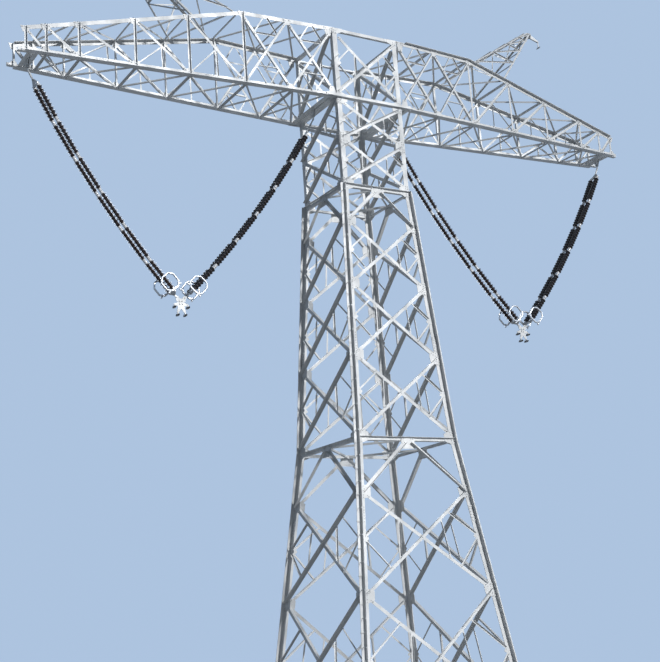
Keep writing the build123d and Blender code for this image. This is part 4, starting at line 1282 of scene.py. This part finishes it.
@dataclass
class InsulatorSet:
    """Both arms of one V set: long-rod units, their caps, couplings and grading rings."""

    hand: Hand
    spread: float = 0.165
    sheds: int = 9
    shed_radius: float = 0.104
    core_radius: float = 0.046
    cap_radius: float = 0.058
    cap_length: float = 0.09
    ring_side: float = 0.6
    ring_corner: float = 0.15
    ring_tube: float = 0.033
    ring_bend: float = 0.06
    ring_place: float = 0.24
    ring_offset: float = 0.115
    ring_stub: float = 0.075
    ring_bar: float = 0.02
    shed: tuple[tuple[float, float], ...] = (
        (0.0, 0.1), (0.96, 0.36), (1.0, 0.42), (0.94, 0.44), (0.3, 0.36), (0.05, 0.5), (0.6, 0.72),
        (0.62, 0.76), (0.2, 0.74),
    )
    collar: tuple[tuple[float, float], ...] = (
        (0.0, -0.0125), (0.058, -0.0125), (0.064, -0.008), (0.064, 0.008), (0.058, 0.0125), (0.0, 0.0125),
    )

    @property
    def lines(self) -> tuple[StringLine, StringLine]:
        """The inner and the outer arm, for the right-hand side."""
        return StringLine(1.56, 6.85), StringLine(11.92, 7.15)

    def build(self, palette: Palette) -> None:
        """Makes the set's units, couplings and rings.

        Args:
            palette: The finishes.
        """
        self.units(palette)
        self.collars(palette)
        self.rings(palette)

    def placed(self) -> Iterator[tuple[Vector, Vector]]:
        """Upper and lower end of every unit, on this side."""
        flip = self.hand.flip
        for line in self.lines:
            joints = line.joints()
            for y in (-self.spread, self.spread):
                for upper, lower in zip(joints[:-1], joints[1:]):
                    yield flip @ (upper + Vector((0, y, 0))), flip @ (lower + Vector((0, y, 0)))

    def unit_pattern(self, length: float) -> Mesh:
        """Mesh of one unit's porcelain, with large and small sheds, from its upper cap down along Z.

        Args:
            length: Length of the unit between its couplings.

        Returns:
            The mesh.
        """
        core, rim = self.core_radius, self.shed_radius
        start = self.cap_length - 0.01
        pitch = (length - 2 * start) / self.sheds
        profile = [(0.0, start), (core, start)]
        for count in range(self.sheds):
            profile += [
                (core + share * (rim - core), start + (count + level) * pitch) for share, level in self.shed
            ]
        profile += [(core, length - start), (0.0, length - start)]
        forge = Forge()
        forge.turned(profile, Matrix.Identity(4), 14)
        return forge.mesh("unit_pattern", ROUND_ANGLE)

    def cap_pattern(self) -> Mesh:
        """Mesh of one unit's cast cap, from the coupling down along Z."""
        cap, end = self.cap_radius, self.cap_length
        forge = Forge()
        profile = [
            (0.0, 0.002), (cap * 0.5, 0.002), (cap * 0.84, 0.014), (cap * 0.9, end * 0.5), (cap, end * 0.72),
            (cap, end - 0.004), (cap * 0.94, end), (0.0, end),
        ]
        forge.turned(profile, Matrix.Identity(4), 14)
        return forge.mesh("cap_pattern", ROUND_ANGLE)

    def units(self, palette: Palette) -> None:
        """Stamps all units, with a cap at each end.

        Args:
            palette: The finishes.
        """
        ends = list(self.placed())
        unit, cap = self.unit_pattern((ends[0][1] - ends[0][0]).length), self.cap_pattern()
        porcelain, caps = Forge(), Forge()
        for upper, lower in ends:
            porcelain.stamp(unit, pointing(upper, lower - upper))
            caps.stamp(cap, pointing(upper, lower - upper))
            caps.stamp(cap, pointing(lower, upper - lower))
        piece = porcelain.piece(f"{self.hand.word}_sheds", self.hand.v_set, ROUND_ANGLE)
        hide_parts(f"{self.hand.word}_insulators")
        palette.dress(piece, "brown_glaze")
        palette.dress(caps.piece(f"{self.hand.word}_unit_caps", self.hand.v_set, ROUND_ANGLE), "bright_zinc")

    def collars(self, palette: Palette) -> None:
        """Makes the bright coupling where two units meet.

        Args:
            palette: The finishes.
        """
        collar = Forge()
        collar.turned(self.collar, Matrix.Identity(4), 18)
        pattern = collar.mesh("collar_pattern", FITTING_ANGLE)
        forge = Forge()
        for upper, lower in self.placed():
            forge.stamp(pattern, pointing(upper, lower - upper))
            forge.stamp(pattern, pointing(lower, lower - upper))
        piece = forge.piece(f"{self.hand.word}_collars", self.hand.v_set, FITTING_ANGLE)
        palette.dress(piece, "drawn_aluminium")

    def rings(self, palette: Palette) -> None:
        """Makes the round-tube grading rings beside the strings' lower ends.

        Args:
            palette: The finishes.
        """
        flip = self.hand.flip
        forge = Forge()
        pattern = self.ring_pattern()
        for line in self.lines:
            joints = line.joints()
            run = (joints[-1] - joints[-2]).normalized()
            for sign in SIDES:
                middle = joints[-1] - run * (self.ring_stub + self.ring_place)
                middle.y = sign * (self.spread + self.ring_offset + self.ring_tube)
                out = Vector((0, sign, 0))
                rows = Matrix((run, out.cross(run), out)).transposed().to_4x4()
                forge.stamp(pattern, flip @ Matrix.Translation(middle) @ rows)
                stub = middle + run * self.ring_place
                inner = Vector((stub.x, sign * (self.spread + 0.03), stub.z))
                forge.rod(flip @ inner, flip @ stub, self.ring_bar, 12)
                forge.bar(flip @ inner, flip @ (run * 0.05), 0.052, 16)
        piece = forge.piece(f"{self.hand.word}_rings", self.hand.v_set, ROUND_ANGLE)
        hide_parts(f"{self.hand.word}_grading_rings")
        palette.dress(piece, "drawn_aluminium")

    def ring_pattern(self) -> Mesh:
        """Mesh of one ring: eight bends of one tube, and the bar across it."""
        half = self.ring_side / 2 - self.ring_tube
        cut = self.ring_corner - self.ring_tube * (2 - math.sqrt(2))
        corners = []
        for x, y in ((1, 1), (-1, 1), (-1, -1), (1, -1)):
            first, second = Vector((x * half, y * (half - cut), 0)), Vector((x * (half - cut), y * half, 0))
            corners += [first, second] if x * y > 0 else [second, first]
        forge = Forge()
        self.tube_loop(forge, corners)
        place = self.ring_place
        forge.rod(Vector((place, -half, 0)), Vector((place, half, 0)), self.ring_bar, 12)
        for sign in SIDES:
            forge.bar(Vector((place, sign * half, 0)), Vector((0.03, 0, 0)), 0.031, 14)
        return forge.mesh("ring_pattern", ROUND_ANGLE)

    def tube_loop(self, forge: Forge, corners: Sequence[Vector]) -> None:
        """Draws a closed tube through corners, with a round bend at each.

        Args:
            forge: The mesh to add to.
            corners: The corners, in order, in the plane of X and Y.
        """
        start = (corners[-1] + corners[0]) / 2
        way = (corners[0] - start).normalized()
        made = bmesh.ops.create_circle(
            forge.bm, segments=12, radius=self.ring_tube, matrix=pointing(start, way),
        )
        first = made["verts"]
        ring = list({edge for vert in first for edge in vert.link_edges})
        start_edges, place = list(ring), start
        for index, corner in enumerate(corners):
            after = corners[(index + 1) % len(corners)]
            leave = (after - corner).normalized()
            turn = way.angle(leave)
            back = self.ring_bend * math.tan(turn / 2)
            ring = self.extruded(forge, ring, corner - way * back - place)
            centre = corner - way * back + UP.cross(way) * self.ring_bend
            spun = bmesh.ops.spin(
                forge.bm, geom=ring + list({v for e in ring for v in e.verts}), cent=centre, axis=UP,
                angle=turn, steps=4,
            )
            ring = [entry for entry in spun["geom_last"] if isinstance(entry, bmesh.types.BMEdge)]
            place, way = corner + leave * back, leave
        ring = self.extruded(forge, ring, (start - place) * 0.5)
        bmesh.ops.bridge_loops(forge.bm, edges=ring + start_edges)

    @staticmethod
    def extruded(forge: Forge, ring: list[bmesh.types.BMEdge], run: Vector) -> list[bmesh.types.BMEdge]:
        """Draws a ring of edges along a run and gives the new ring."""
        drawn = bmesh.ops.extrude_edge_only(forge.bm, edges=ring)["geom"]
        moved = [entry for entry in drawn if isinstance(entry, bmesh.types.BMVert)]
        bmesh.ops.translate(forge.bm, verts=moved, vec=run)
        fresh = set(moved)
        edges = [entry for entry in drawn if isinstance(entry, bmesh.types.BMEdge)]
        return [edge for edge in edges if set(edge.verts) <= fresh]


@dataclass(frozen=True)
class YokeShape:
    """The V plate, the bundle plate and the four clamps, measured from the V plate's middle."""

    x: float = 7.0
    level: float = 17.84011
    half_spread: float = 0.15
    wall: float = 0.018
    strap_wall: float = 0.012
    v_depth: float = 0.12
    hub_drop: float = 0.215
    link_x: float = 0.045
    clamps: tuple[tuple[float, float], ...] = (
        (-0.235, -0.33), (-0.13, -0.59), (0.235, -0.33), (0.13, -0.59),
    )
    clamp_strap: float = 0.085


@dataclass
class YokeHardware:
    """Clamps with their keepers and bolts, and the bolts of one yoke."""

    hand: Hand
    shape: YokeShape = YokeShape()
    half_length: float = 0.115
    bore: float = 0.018
    body_radius: float = 0.037
    end_radius: float = 0.025
    strap_width: float = 0.034
    clamp_strap_wall: float = 0.008
    bolt_y: float = 0.05
    rod: float = 0.006
    clamp_bolt: float = 0.007
    yoke_bolt: float = 0.011
    washer_wall: float = 0.003

    def build(self, palette: Palette) -> None:
        """Makes the clamps and the bolts.

        Args:
            palette: The finishes.
        """
        flip = self.hand.flip
        bodies, straps, bolts = Forge(), Forge(), Forge()
        body, keeper = self.body_pattern(), self.keeper_pattern()
        middle = Vector((self.shape.x, 0.0, self.shape.level))
        for x, drop in self.shape.clamps:
            centre = flip @ (middle + Vector((x, 0.0, drop)))
            bodies.stamp(body, Matrix.Translation(centre))
            straps.stamp(keeper, Matrix.Translation(centre))
            self.straps(straps, centre)
            half = self.shape.wall / 2 + self.clamp_strap_wall
            self.pin(bolts, centre + UP * self.shape.clamp_strap, self.clamp_bolt, half)
        half = self.shape.wall / 2 + self.shape.strap_wall
        for x, drop in (
            (self.shape.half_spread, 0.0), (self.shape.link_x, -self.shape.v_depth),
            (self.shape.link_x, -self.shape.hub_drop),
        ):
            for side in SIDES:
                self.pin(bolts, flip @ (middle + Vector((side * x, 0.0, drop))), self.yoke_bolt, half)
        piece = bodies.piece(f"{self.hand.word}_clamp_bodies", self.hand.v_set, FITTING_ANGLE)
        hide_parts(f"{self.hand.word}_conductor_clamps")
        palette.dress(piece, "cast_metal")
        for forge, name, finish in (
            (straps, "clamp_straps", "bright_zinc"), (bolts, "yoke_bolts", "dull_zinc"),
        ):
            palette.dress(forge.piece(f"{self.hand.word}_{name}", self.hand.v_set, FITTING_ANGLE), finish)

    def body_pattern(self) -> Mesh:
        """Mesh of one clamp's boat-shaped body, with a flared bore along Y."""
        half, bore, end, belly = self.half_length, self.bore, self.end_radius, self.body_radius
        profile = [
            (bore + 0.005, -half), (end, -half + 0.002), (end + 0.002, -half * 0.8), (belly, -half * 0.45),
            (belly, half * 0.45), (end + 0.002, half * 0.8), (end, half - 0.002), (bore + 0.005, half),
            (bore, half * 0.85), (bore, -half * 0.85), (bore + 0.005, -half),
        ]
        forge = Forge()
        forge.turned(profile, pointing(Vector(), ALONG_LINE), 20)
        for y in (-self.bolt_y, self.bolt_y):
            for x in SIDES:
                forge.bar(Vector((x * belly * 0.9, y, 0.0)), UP * 0.016, 0.013, 12)
        return forge.mesh("clamp_body_pattern", FITTING_ANGLE)

    def keeper_pattern(self) -> Mesh:
        """Mesh of one clamp's keeper, its two U bolts and their nuts."""
        forge = Forge()
        top = self.body_radius
        for x in SIDES:
            for y in (-self.bolt_y, self.bolt_y):
                foot = Vector((x * self.body_radius * 0.9, y, 0.0))
                forge.stack(foot, UP, ((-0.034, top, self.rod, 8), (-0.027, -0.017, 0.011, 6)))
        for y in (-self.bolt_y, self.bolt_y):
            reach = Vector((self.body_radius * 0.9 + self.rod, 0, 0))
            forge.bar(Vector((0.0, y, top + self.rod / 2)), reach, self.rod, 8)
        return forge.mesh("keeper_pattern", FITTING_ANGLE)

    def straps(self, forge: Forge, centre: Vector) -> None:
        """Adds the two straps that hang one clamp.

        Args:
            forge: The mesh to add to.
            centre: Middle of the clamp's bore.
        """
        half = self.strap_width / 2
        low, high = self.bore + 0.002, self.shape.clamp_strap
        steps = [math.pi * index / 8 for index in range(9)]
        outline = [Vector((half, 0, low))] + [
            Vector((half * math.cos(turn), 0, high + half * math.sin(turn))) for turn in steps
        ] + [Vector((-half, 0, low))]
        for sign in SIDES:
            start = Vector((0, sign * self.shape.wall / 2, 0))
            run = Vector((0, sign * self.clamp_strap_wall, 0))
            forge.sweep([centre + corner + start for corner in outline], run)

    def pin(self, forge: Forge, middle: Vector, radius: float, half: float) -> None:
        """Adds a bolt along Y through a joint, with its head and nut.

        Args:
            forge: The mesh to add to.
            middle: Middle of the bolt.
            radius: The bolt's radius.
            half: Half of the thickness that it holds.
        """
        wall = self.washer_wall
        forge.stack(middle, ALONG_LINE, ((-(half + radius * 0.5), half + radius * 2.6, radius, 10),))
        for sign, depth in ((-1, 1.2), (1, 1.5)):
            forge.stack(middle + ALONG_LINE * sign * half, ALONG_LINE * sign, (
                (0.0, wall, radius * 2.1, 14), (wall, wall + radius * depth, radius * 1.8, 6),
            ))


@dataclass
class StringHardware:
    """Bolts, clevises and the adjusting link of one V set, and the nuts on its hinge pins."""

    hand: Hand
    string: InsulatorSet
    hinge_level: float = 25.0
    plate_half: float = 0.009
    lug_face: float = 0.037
    pin_radius: float = 0.017
    link: float = 0.025
    plate_bolts: tuple[float, float] = (-0.16, 0.11)
    link_gap: float = 0.18
    washer_wall: float = 0.004
    cheek: tuple[float, float, float, float] = (0.03, 0.05, 0.022, 0.008)

    def build(self, palette: Palette) -> None:
        """Makes the fittings' details.

        Args:
            palette: The finishes.
        """
        moving, fixed = Forge(), Forge()
        for line in self.string.lines:
            joints = line.joints()
            first, last = (joints[1] - joints[0]).normalized(), (joints[-1] - joints[-2]).normalized()
            for joint, run, depth in zip((joints[0], joints[-1]), (first, last), self.plate_bolts):
                normal = ALONG_LINE.cross(run)
                held = [joint + ALONG_LINE * y for y in (-self.string.spread, self.string.spread)]
                for spot in [joint + run * depth] + held:
                    for sign in SIDES:
                        self.head(moving, spot, normal * sign)
                for spot in held:
                    self.clevis(moving, spot, run if depth < 0 else -run)
            self.adjuster(moving, line.at(0.0), joints[0] - first * self.link_gap)
            self.hinge(fixed, Vector((line.hanger_x, 0, self.hinge_level)))
        for forge, name, body in (
            (moving, "link_details", self.hand.v_set), (fixed, "hinge_nuts", Body.TOWER),
        ):
            palette.dress(forge.piece(f"{self.hand.word}_{name}", body, FITTING_ANGLE), "dull_zinc")

    def head(self, forge: Forge, spot: Vector, normal: Vector) -> None:
        """Adds one bolt head with its washer on a plate.

        Args:
            forge: The mesh to add to.
            spot: Place in the plate's middle.
            normal: Direction that the head looks in.
        """
        flip, wall = self.hand.flip, self.washer_wall
        forge.stack(flip @ (spot + normal * self.plate_half), flip @ normal, (
            (0.0, wall, 0.025, 14), (wall, 0.018, 0.02, 6),
        ))

    def clevis(self, forge: Forge, joint: Vector, run: Vector) -> None:
        """Adds the two cheeks that hold a string's end on its plate.

        Args:
            forge: The mesh to add to.
            joint: Where the string is held.
            run: Direction from the joint into the string.
        """
        flip = self.hand.flip
        back, ahead, width, wall = self.cheek
        normal = ALONG_LINE.cross(run).normalized()
        for sign in SIDES:
            start, end = flip @ (joint - run * back), flip @ (joint + run * ahead)
            low = normal * sign * self.plate_half
            forge.strip(start, end, flip @ (ALONG_LINE * width), flip @ low, flip @ (normal * sign * wall))

    def adjuster(self, forge: Forge, start: Vector, end: Vector) -> None:
        """Adds the sleeve, lock nuts and end collars of the long upper link.

        Args:
            forge: The mesh to add to.
            start: The link's upper end.
            end: Its lower end.
        """
        flip, link = self.hand.flip, self.link
        run = (end - start).normalized()
        length = (end - start).length
        for share, half, radius, sides in (
            (0.5, min(0.09, length * 0.3), link * 1.3, 12), (0.5, min(0.11, length * 0.36), link * 1.12, 6),
            (0.04, 0.02, link * 1.4, 14), (0.96, 0.02, link * 1.4, 14),
        ):
            forge.bar(flip @ start.lerp(end, share), flip @ (run * half), radius, sides)

    def hinge(self, forge: Forge, centre: Vector) -> None:
        """Adds washers and nuts on both ends of a hinge pin.

        Args:
            forge: The mesh to add to.
            centre: Middle of the pin.
        """
        flip, wall, radius = self.hand.flip, self.washer_wall, self.pin_radius
        for sign in SIDES:
            out = Vector((sign, 0, 0))
            forge.stack(flip @ (centre + out * self.lug_face), flip @ out, (
                (0.0, wall, radius * 1.9, 18), (wall, 0.02, radius * 1.7, 6), (wall, 0.03, radius * 0.8, 12),
            ))


@dataclass
class WireClampHardware:
    """Keeper and bolts of one ground-wire clamp, and the nuts on its pin."""

    hand: Hand
    x: float = 9.48
    level: float = 30.078
    drop: float = 0.26
    bracket_half: float = 0.026
    bolt_y: float = 0.05
    rod: float = 0.005
    washer_wall: float = 0.003

    def build(self, palette: Palette) -> None:
        """Makes the details.

        Args:
            palette: The finishes.
        """
        pin = Vector((self.hand.value * self.x, 0, self.level))
        centre = pin - UP * self.drop
        moving, fixed = Forge(), Forge()
        for y in (-self.bolt_y, self.bolt_y):
            for x in SIDES:
                foot = centre + Vector((x * 0.024, y, 0))
                moving.stack(foot, UP, ((-0.022, 0.03, self.rod, 8), (-0.02, -0.012, 0.009, 6)))
            moving.bar(centre + Vector((0, y, 0.027)), Vector((0.029, 0, 0)), self.rod, 8)
        for sign in SIDES:
            fixed.stack(pin + ALONG_LINE * sign * self.bracket_half, ALONG_LINE * sign, (
                (0.0, self.washer_wall, 0.019, 14), (self.washer_wall, 0.013, 0.016, 6),
            ))
        for forge, name, body in (
            (moving, "wire_clamp_bolts", self.hand.wire), (fixed, "wire_pin_nuts", Body.TOWER),
        ):
            palette.dress(forge.piece(f"{self.hand.word}_{name}", body, FITTING_ANGLE), "dull_zinc")


@dataclass
class Splices:
    """Bolted cover plates where the legs' and the chords' lengths meet."""

    tower: TowerShape
    arm: ArmShape
    levels: tuple[float, ...] = (4.9, 10.6, 16.4)
    half: float = 0.27
    wall: float = 0.01
    edges: tuple[float, float] = (0.02, 0.17)
    rows: tuple[float, float] = (0.055, 0.13)
    end_gap: float = 0.04
    count: int = 6
    chord_bays: tuple[int, ...] = (3, 5)
    chord_back: float = 0.75
    chord_half: float = 0.2
    chord_edges: tuple[float, float] = (0.01, 0.13)
    chord_rows: tuple[float, float] = (0.04, 0.1)

    def build(self, palette: Palette) -> None:
        """Makes the plates and their bolts.

        Args:
            palette: The finishes.
        """
        plates, bolts = Forge(), Forge()
        head = Bolt().pattern()
        for level in self.levels:
            batter = self.tower.lower_batter if level < self.tower.knee else self.tower.middle_batter
            face = self.tower.face(level, batter)
            for side in SIDES:
                self.cover(plates, bolts, head, face, batter, side)
        plates.around_tower()
        bolts.around_tower()
        for hand in Hand:
            for bay in self.chord_bays:
                self.chord(plates, bolts, head, self.arm.face(hand), self.arm.station(bay) - self.chord_back)
        palette.dress(plates.piece("splice_plates", Body.TOWER), "hot_dip_zinc")
        palette.dress(bolts.piece("splice_bolts", Body.TOWER), "dull_zinc")

    def cover(self, plates: Forge, bolts: Forge, head: Mesh, face: Face, batter: float, side: int) -> None:
        """Adds one leg splice on a face.

        Args:
            plates: Mesh for the plate.
            bolts: Mesh for its bolts.
            head: The bolt's mesh.
            face: The leg's face, with its origin at the splice.
            batter: How far the leg leans.
            side: Which leg, by the sign of X.
        """
        def reach(inset: float, y: float) -> float:
            """Distance from the face's middle to a place beside the leg's heel."""
            return side * (-face.origin.y - batter * y - inset)

        near, far = self.edges
        outline = (near, -self.half), (far, -self.half), (far, self.half), (near, self.half)
        corners = [face.at(reach(inset, y), y) for inset, y in outline]
        plates.plate(corners, Vector(), face.normal * self.wall)
        for row in self.rows:
            for index in range(self.count):
                y = -self.half + self.end_gap + index * (self.half - self.end_gap) * 2 / (self.count - 1)
                bolts.stamp(head, pointing(face.at(reach(row, y), y, self.wall), face.normal))

    def chord(self, plates: Forge, bolts: Forge, head: Mesh, face: Face, x: float) -> None:
        """Adds one splice on the bottom chord's upright flange, front and rear.

        Args:
            plates: Mesh for the plate.
            bolts: Mesh for its bolts.
            head: The bolt's mesh.
            face: The arm's front face.
            x: Distance of the splice along the arm.
        """
        for sign in (1, -1):
            flip = Matrix.Scale(float(sign), 4, Vector((0, 1, 0)))
            normal = flip @ face.normal
            (low, high), half = self.chord_edges, self.chord_half
            outline = (-half, low), (half, low), (half, high), (-half, high)
            plates.plate([flip @ face.at(x + dx, y) for dx, y in outline], Vector(), normal * self.wall)
            for index in range(self.count):
                for y in self.chord_rows:
                    spot = flip @ face.at(x - 0.16 + index * 0.064, y, self.wall)
                    bolts.stamp(head, pointing(spot, normal))


# The scene around the object


@dataclass(frozen=True)
class Lamp:
    """One of the studio's lamps: its strength, its direction and how wide its light spreads in degrees."""

    name: str
    strength: float
    place: tuple[float, float, float]
    spread: float

    def build(self) -> None:
        """Makes the lamp."""
        light = bpy.data.lights.new(self.name, "SUN")
        light.energy = self.strength
        light.angle = math.radians(self.spread)
        lamp = bpy.data.objects.new(self.name, light)
        lamp.rotation_euler = Vector(self.place).to_track_quat("Z", "Y").to_euler()
        bpy.context.scene.collection.objects.link(lamp)


@dataclass
class Studio:
    """Pale floor, plain light, and the photograph's camera."""

    background: tuple[float, float, float] = (0.42, 0.55, 0.74)
    focal: float = 67.07
    place: tuple[float, float, float] = (-22.83, -34.945, 7.04)
    right: tuple[float, float, float] = (0.8621, -0.5021, -0.0679)
    up: tuple[float, float, float] = (-0.0634, -0.2399, 0.9687)
    lamps: tuple[Lamp, ...] = (
        Lamp("key", 2.3, (0.3, -0.85, 0.36), 5.0), Lamp("back", 0.9, (0.3, 0.85, 0.4), 30.0),
    )
    fill: float = 0.08
    floor_reach: float = 60.0
    floor_lift: float = 0.85
    floor_dark: tuple[float, float, float] = (0.42, 0.45, 0.48)
    floor_light: tuple[float, float, float] = (0.48, 0.51, 0.54)
    fill_colour: tuple[float, float, float] = (0.80, 0.87, 1.0)
    shift: float = 0.00725
    far: float = 2000.0

    def build(self) -> None:
        """Makes the floor, the world, the lamps and the camera."""
        self.floor()
        self.world()
        for lamp in self.lamps:
            lamp.build()
        self.camera()
        bpy.context.scene.view_settings.view_transform = "Standard"

    def floor(self) -> None:
        """Makes the pale floor, which fades into the backdrop before its edge."""
        bm = bmesh.new()
        bmesh.ops.create_circle(bm, cap_ends=True, segments=96, radius=self.floor_reach)
        mesh = bpy.data.meshes.new("floor")
        bm.to_mesh(mesh)
        bm.free()
        floor = bpy.data.objects.new("floor", mesh)
        bpy.context.scene.collection.objects.link(floor)
        material = bpy.data.materials.new("pale_floor")
        material.use_nodes = True
        sheet = NodeSheet(material.node_tree)
        place = sheet.add("ShaderNodeTexCoord")
        mottle = sheet.add("ShaderNodeTexNoise", in_Scale=0.4, in_Detail=5.0)
        sheet.link((place, "Object", mottle, "Vector"))
        colour = sheet.mix(mottle.outputs["Fac"], (*self.floor_dark, 1.0), (*self.floor_light, 1.0))
        shader = sheet.add("ShaderNodeBsdfPrincipled", in_Roughness=0.9)
        sheet.join(colour, shader.inputs["Base Color"])
        paths = sheet.add("ShaderNodeLightPath")
        lift = sheet.add("ShaderNodeMath", operation="MULTIPLY")
        lift.inputs[1].default_value = self.floor_lift
        sheet.link((paths, "Is Camera Ray", lift, 0), (lift, "Value", shader, "Emission Strength"))
        shader.inputs["Emission Color"].default_value = (*self.background, 1.0)
        away = sheet.add("ShaderNodeVectorMath", operation="LENGTH")
        sheet.link((place, "Object", away, 0))
        edge = sheet.add(
            "ShaderNodeMapRange", interpolation_type="SMOOTHSTEP",
            in_From_Min=self.floor_reach * 0.35, in_From_Max=self.floor_reach * 0.9,
        )
        sheet.link((away, "Value", edge, "Value"))
        seen = sheet.add("ShaderNodeMath", operation="MULTIPLY")
        sheet.link((edge, "Result", seen, 0), (paths, "Is Camera Ray", seen, 1))
        plain = sheet.add("ShaderNodeEmission", in_Color=(*self.background, 1.0))
        both = sheet.add("ShaderNodeMixShader")
        output = sheet.add("ShaderNodeOutputMaterial")
        sheet.link(
            (seen, "Value", both, "Fac"), (shader, "BSDF", both, 1), (plain, "Emission", both, 2),
            (both, "Shader", output, "Surface"),
        )
        mesh.materials.append(material)

    def world(self) -> None:
        """Makes a plain backdrop for the camera and a dim, even light for the object."""
        world = bpy.data.worlds.new("studio")
        bpy.context.scene.world = world
        world.use_nodes = True
        sheet = NodeSheet(world.node_tree)
        paths = sheet.add("ShaderNodeLightPath")
        seen = sheet.add("ShaderNodeMath", operation="MAXIMUM")
        clear = sheet.add("ShaderNodeMath", operation="MAXIMUM")
        sheet.link(
            (paths, "Is Camera Ray", seen, 0), (paths, "Is Transmission Ray", seen, 1),
            (seen, "Value", clear, 0), (paths, "Is Glossy Ray", clear, 1),
        )
        dim = sheet.add("ShaderNodeBackground", in_Color=(*self.fill_colour, 1.0), in_Strength=self.fill)
        plain = sheet.add("ShaderNodeBackground", in_Color=(*self.background, 1.0), in_Strength=1.0)
        both = sheet.add("ShaderNodeMixShader")
        output = sheet.add("ShaderNodeOutputWorld")
        sheet.link(
            (clear, "Value", both, "Fac"), (dim, "Background", both, 1), (plain, "Background", both, 2),
            (both, "Shader", output, "Surface"),
        )

    def camera(self) -> None:
        """Sets the camera where the photograph was taken from."""
        data = bpy.data.cameras.new("camera")
        data.lens = self.focal
        data.shift_x = self.shift
        data.clip_end = self.far
        camera = bpy.data.objects.new("camera", data)
        right, up = Vector(self.right).normalized(), Vector(self.up)
        back = right.cross(up).normalized()
        up = back.cross(right)
        turn = Matrix((right, up, back)).transposed().to_4x4()
        camera.matrix_world = Matrix.Translation(self.place) @ turn
        bpy.context.scene.collection.objects.link(camera)
        bpy.context.scene.camera = camera


@dataclass
class CarriedNodes:
    """Finishes of the CAD nodes that stay in view."""

    moving: tuple[tuple[str, str], ...] = (
        ("string_fittings", "dull_zinc"), ("yoke", "hot_dip_zinc"), ("conductor_clamps", "cast_metal"),
        ("ground_wire_clamp", "dull_zinc"), ("insulators", "brown_glaze"),
        ("grading_rings", "drawn_aluminium"),
    )

    def build(self, palette: Palette) -> None:
        """Gives every carried node its finish.

        Args:
            palette: The finishes.
        """
        special = dict(self.moving)
        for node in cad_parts:
            kind = node.split("_", 1)[1] if node.split("_", 1)[0] in ("left", "right") else node
            palette.dress_node(node, special.get(kind, "hot_dip_zinc"))


def main() -> None:
    """Builds the dressed pylon."""
    logging.basicConfig(level=logging.INFO, format="%(name)s %(message)s")
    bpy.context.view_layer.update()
    palette = Palette()
    tower = TowerShape()
    arm = ArmShape(tower)
    CarriedNodes().build(palette)
    for detail in (
        BodyRedundants(tower), ArmRedundants(arm), ChordFlanges(tower, arm), RailFlanges(tower),
        JointBolts(tower, arm), StepBolts(tower), FootBolts(tower), Splices(tower, arm),
    ):
        detail.build(palette)
    for hand in Hand:
        string = InsulatorSet(hand)
        string.build(palette)
        StringHardware(hand, string).build(palette)
        YokeHardware(hand).build(palette)
        WireClampHardware(hand).build(palette)
    Studio().build()


if __name__ == "__main__":
    main()
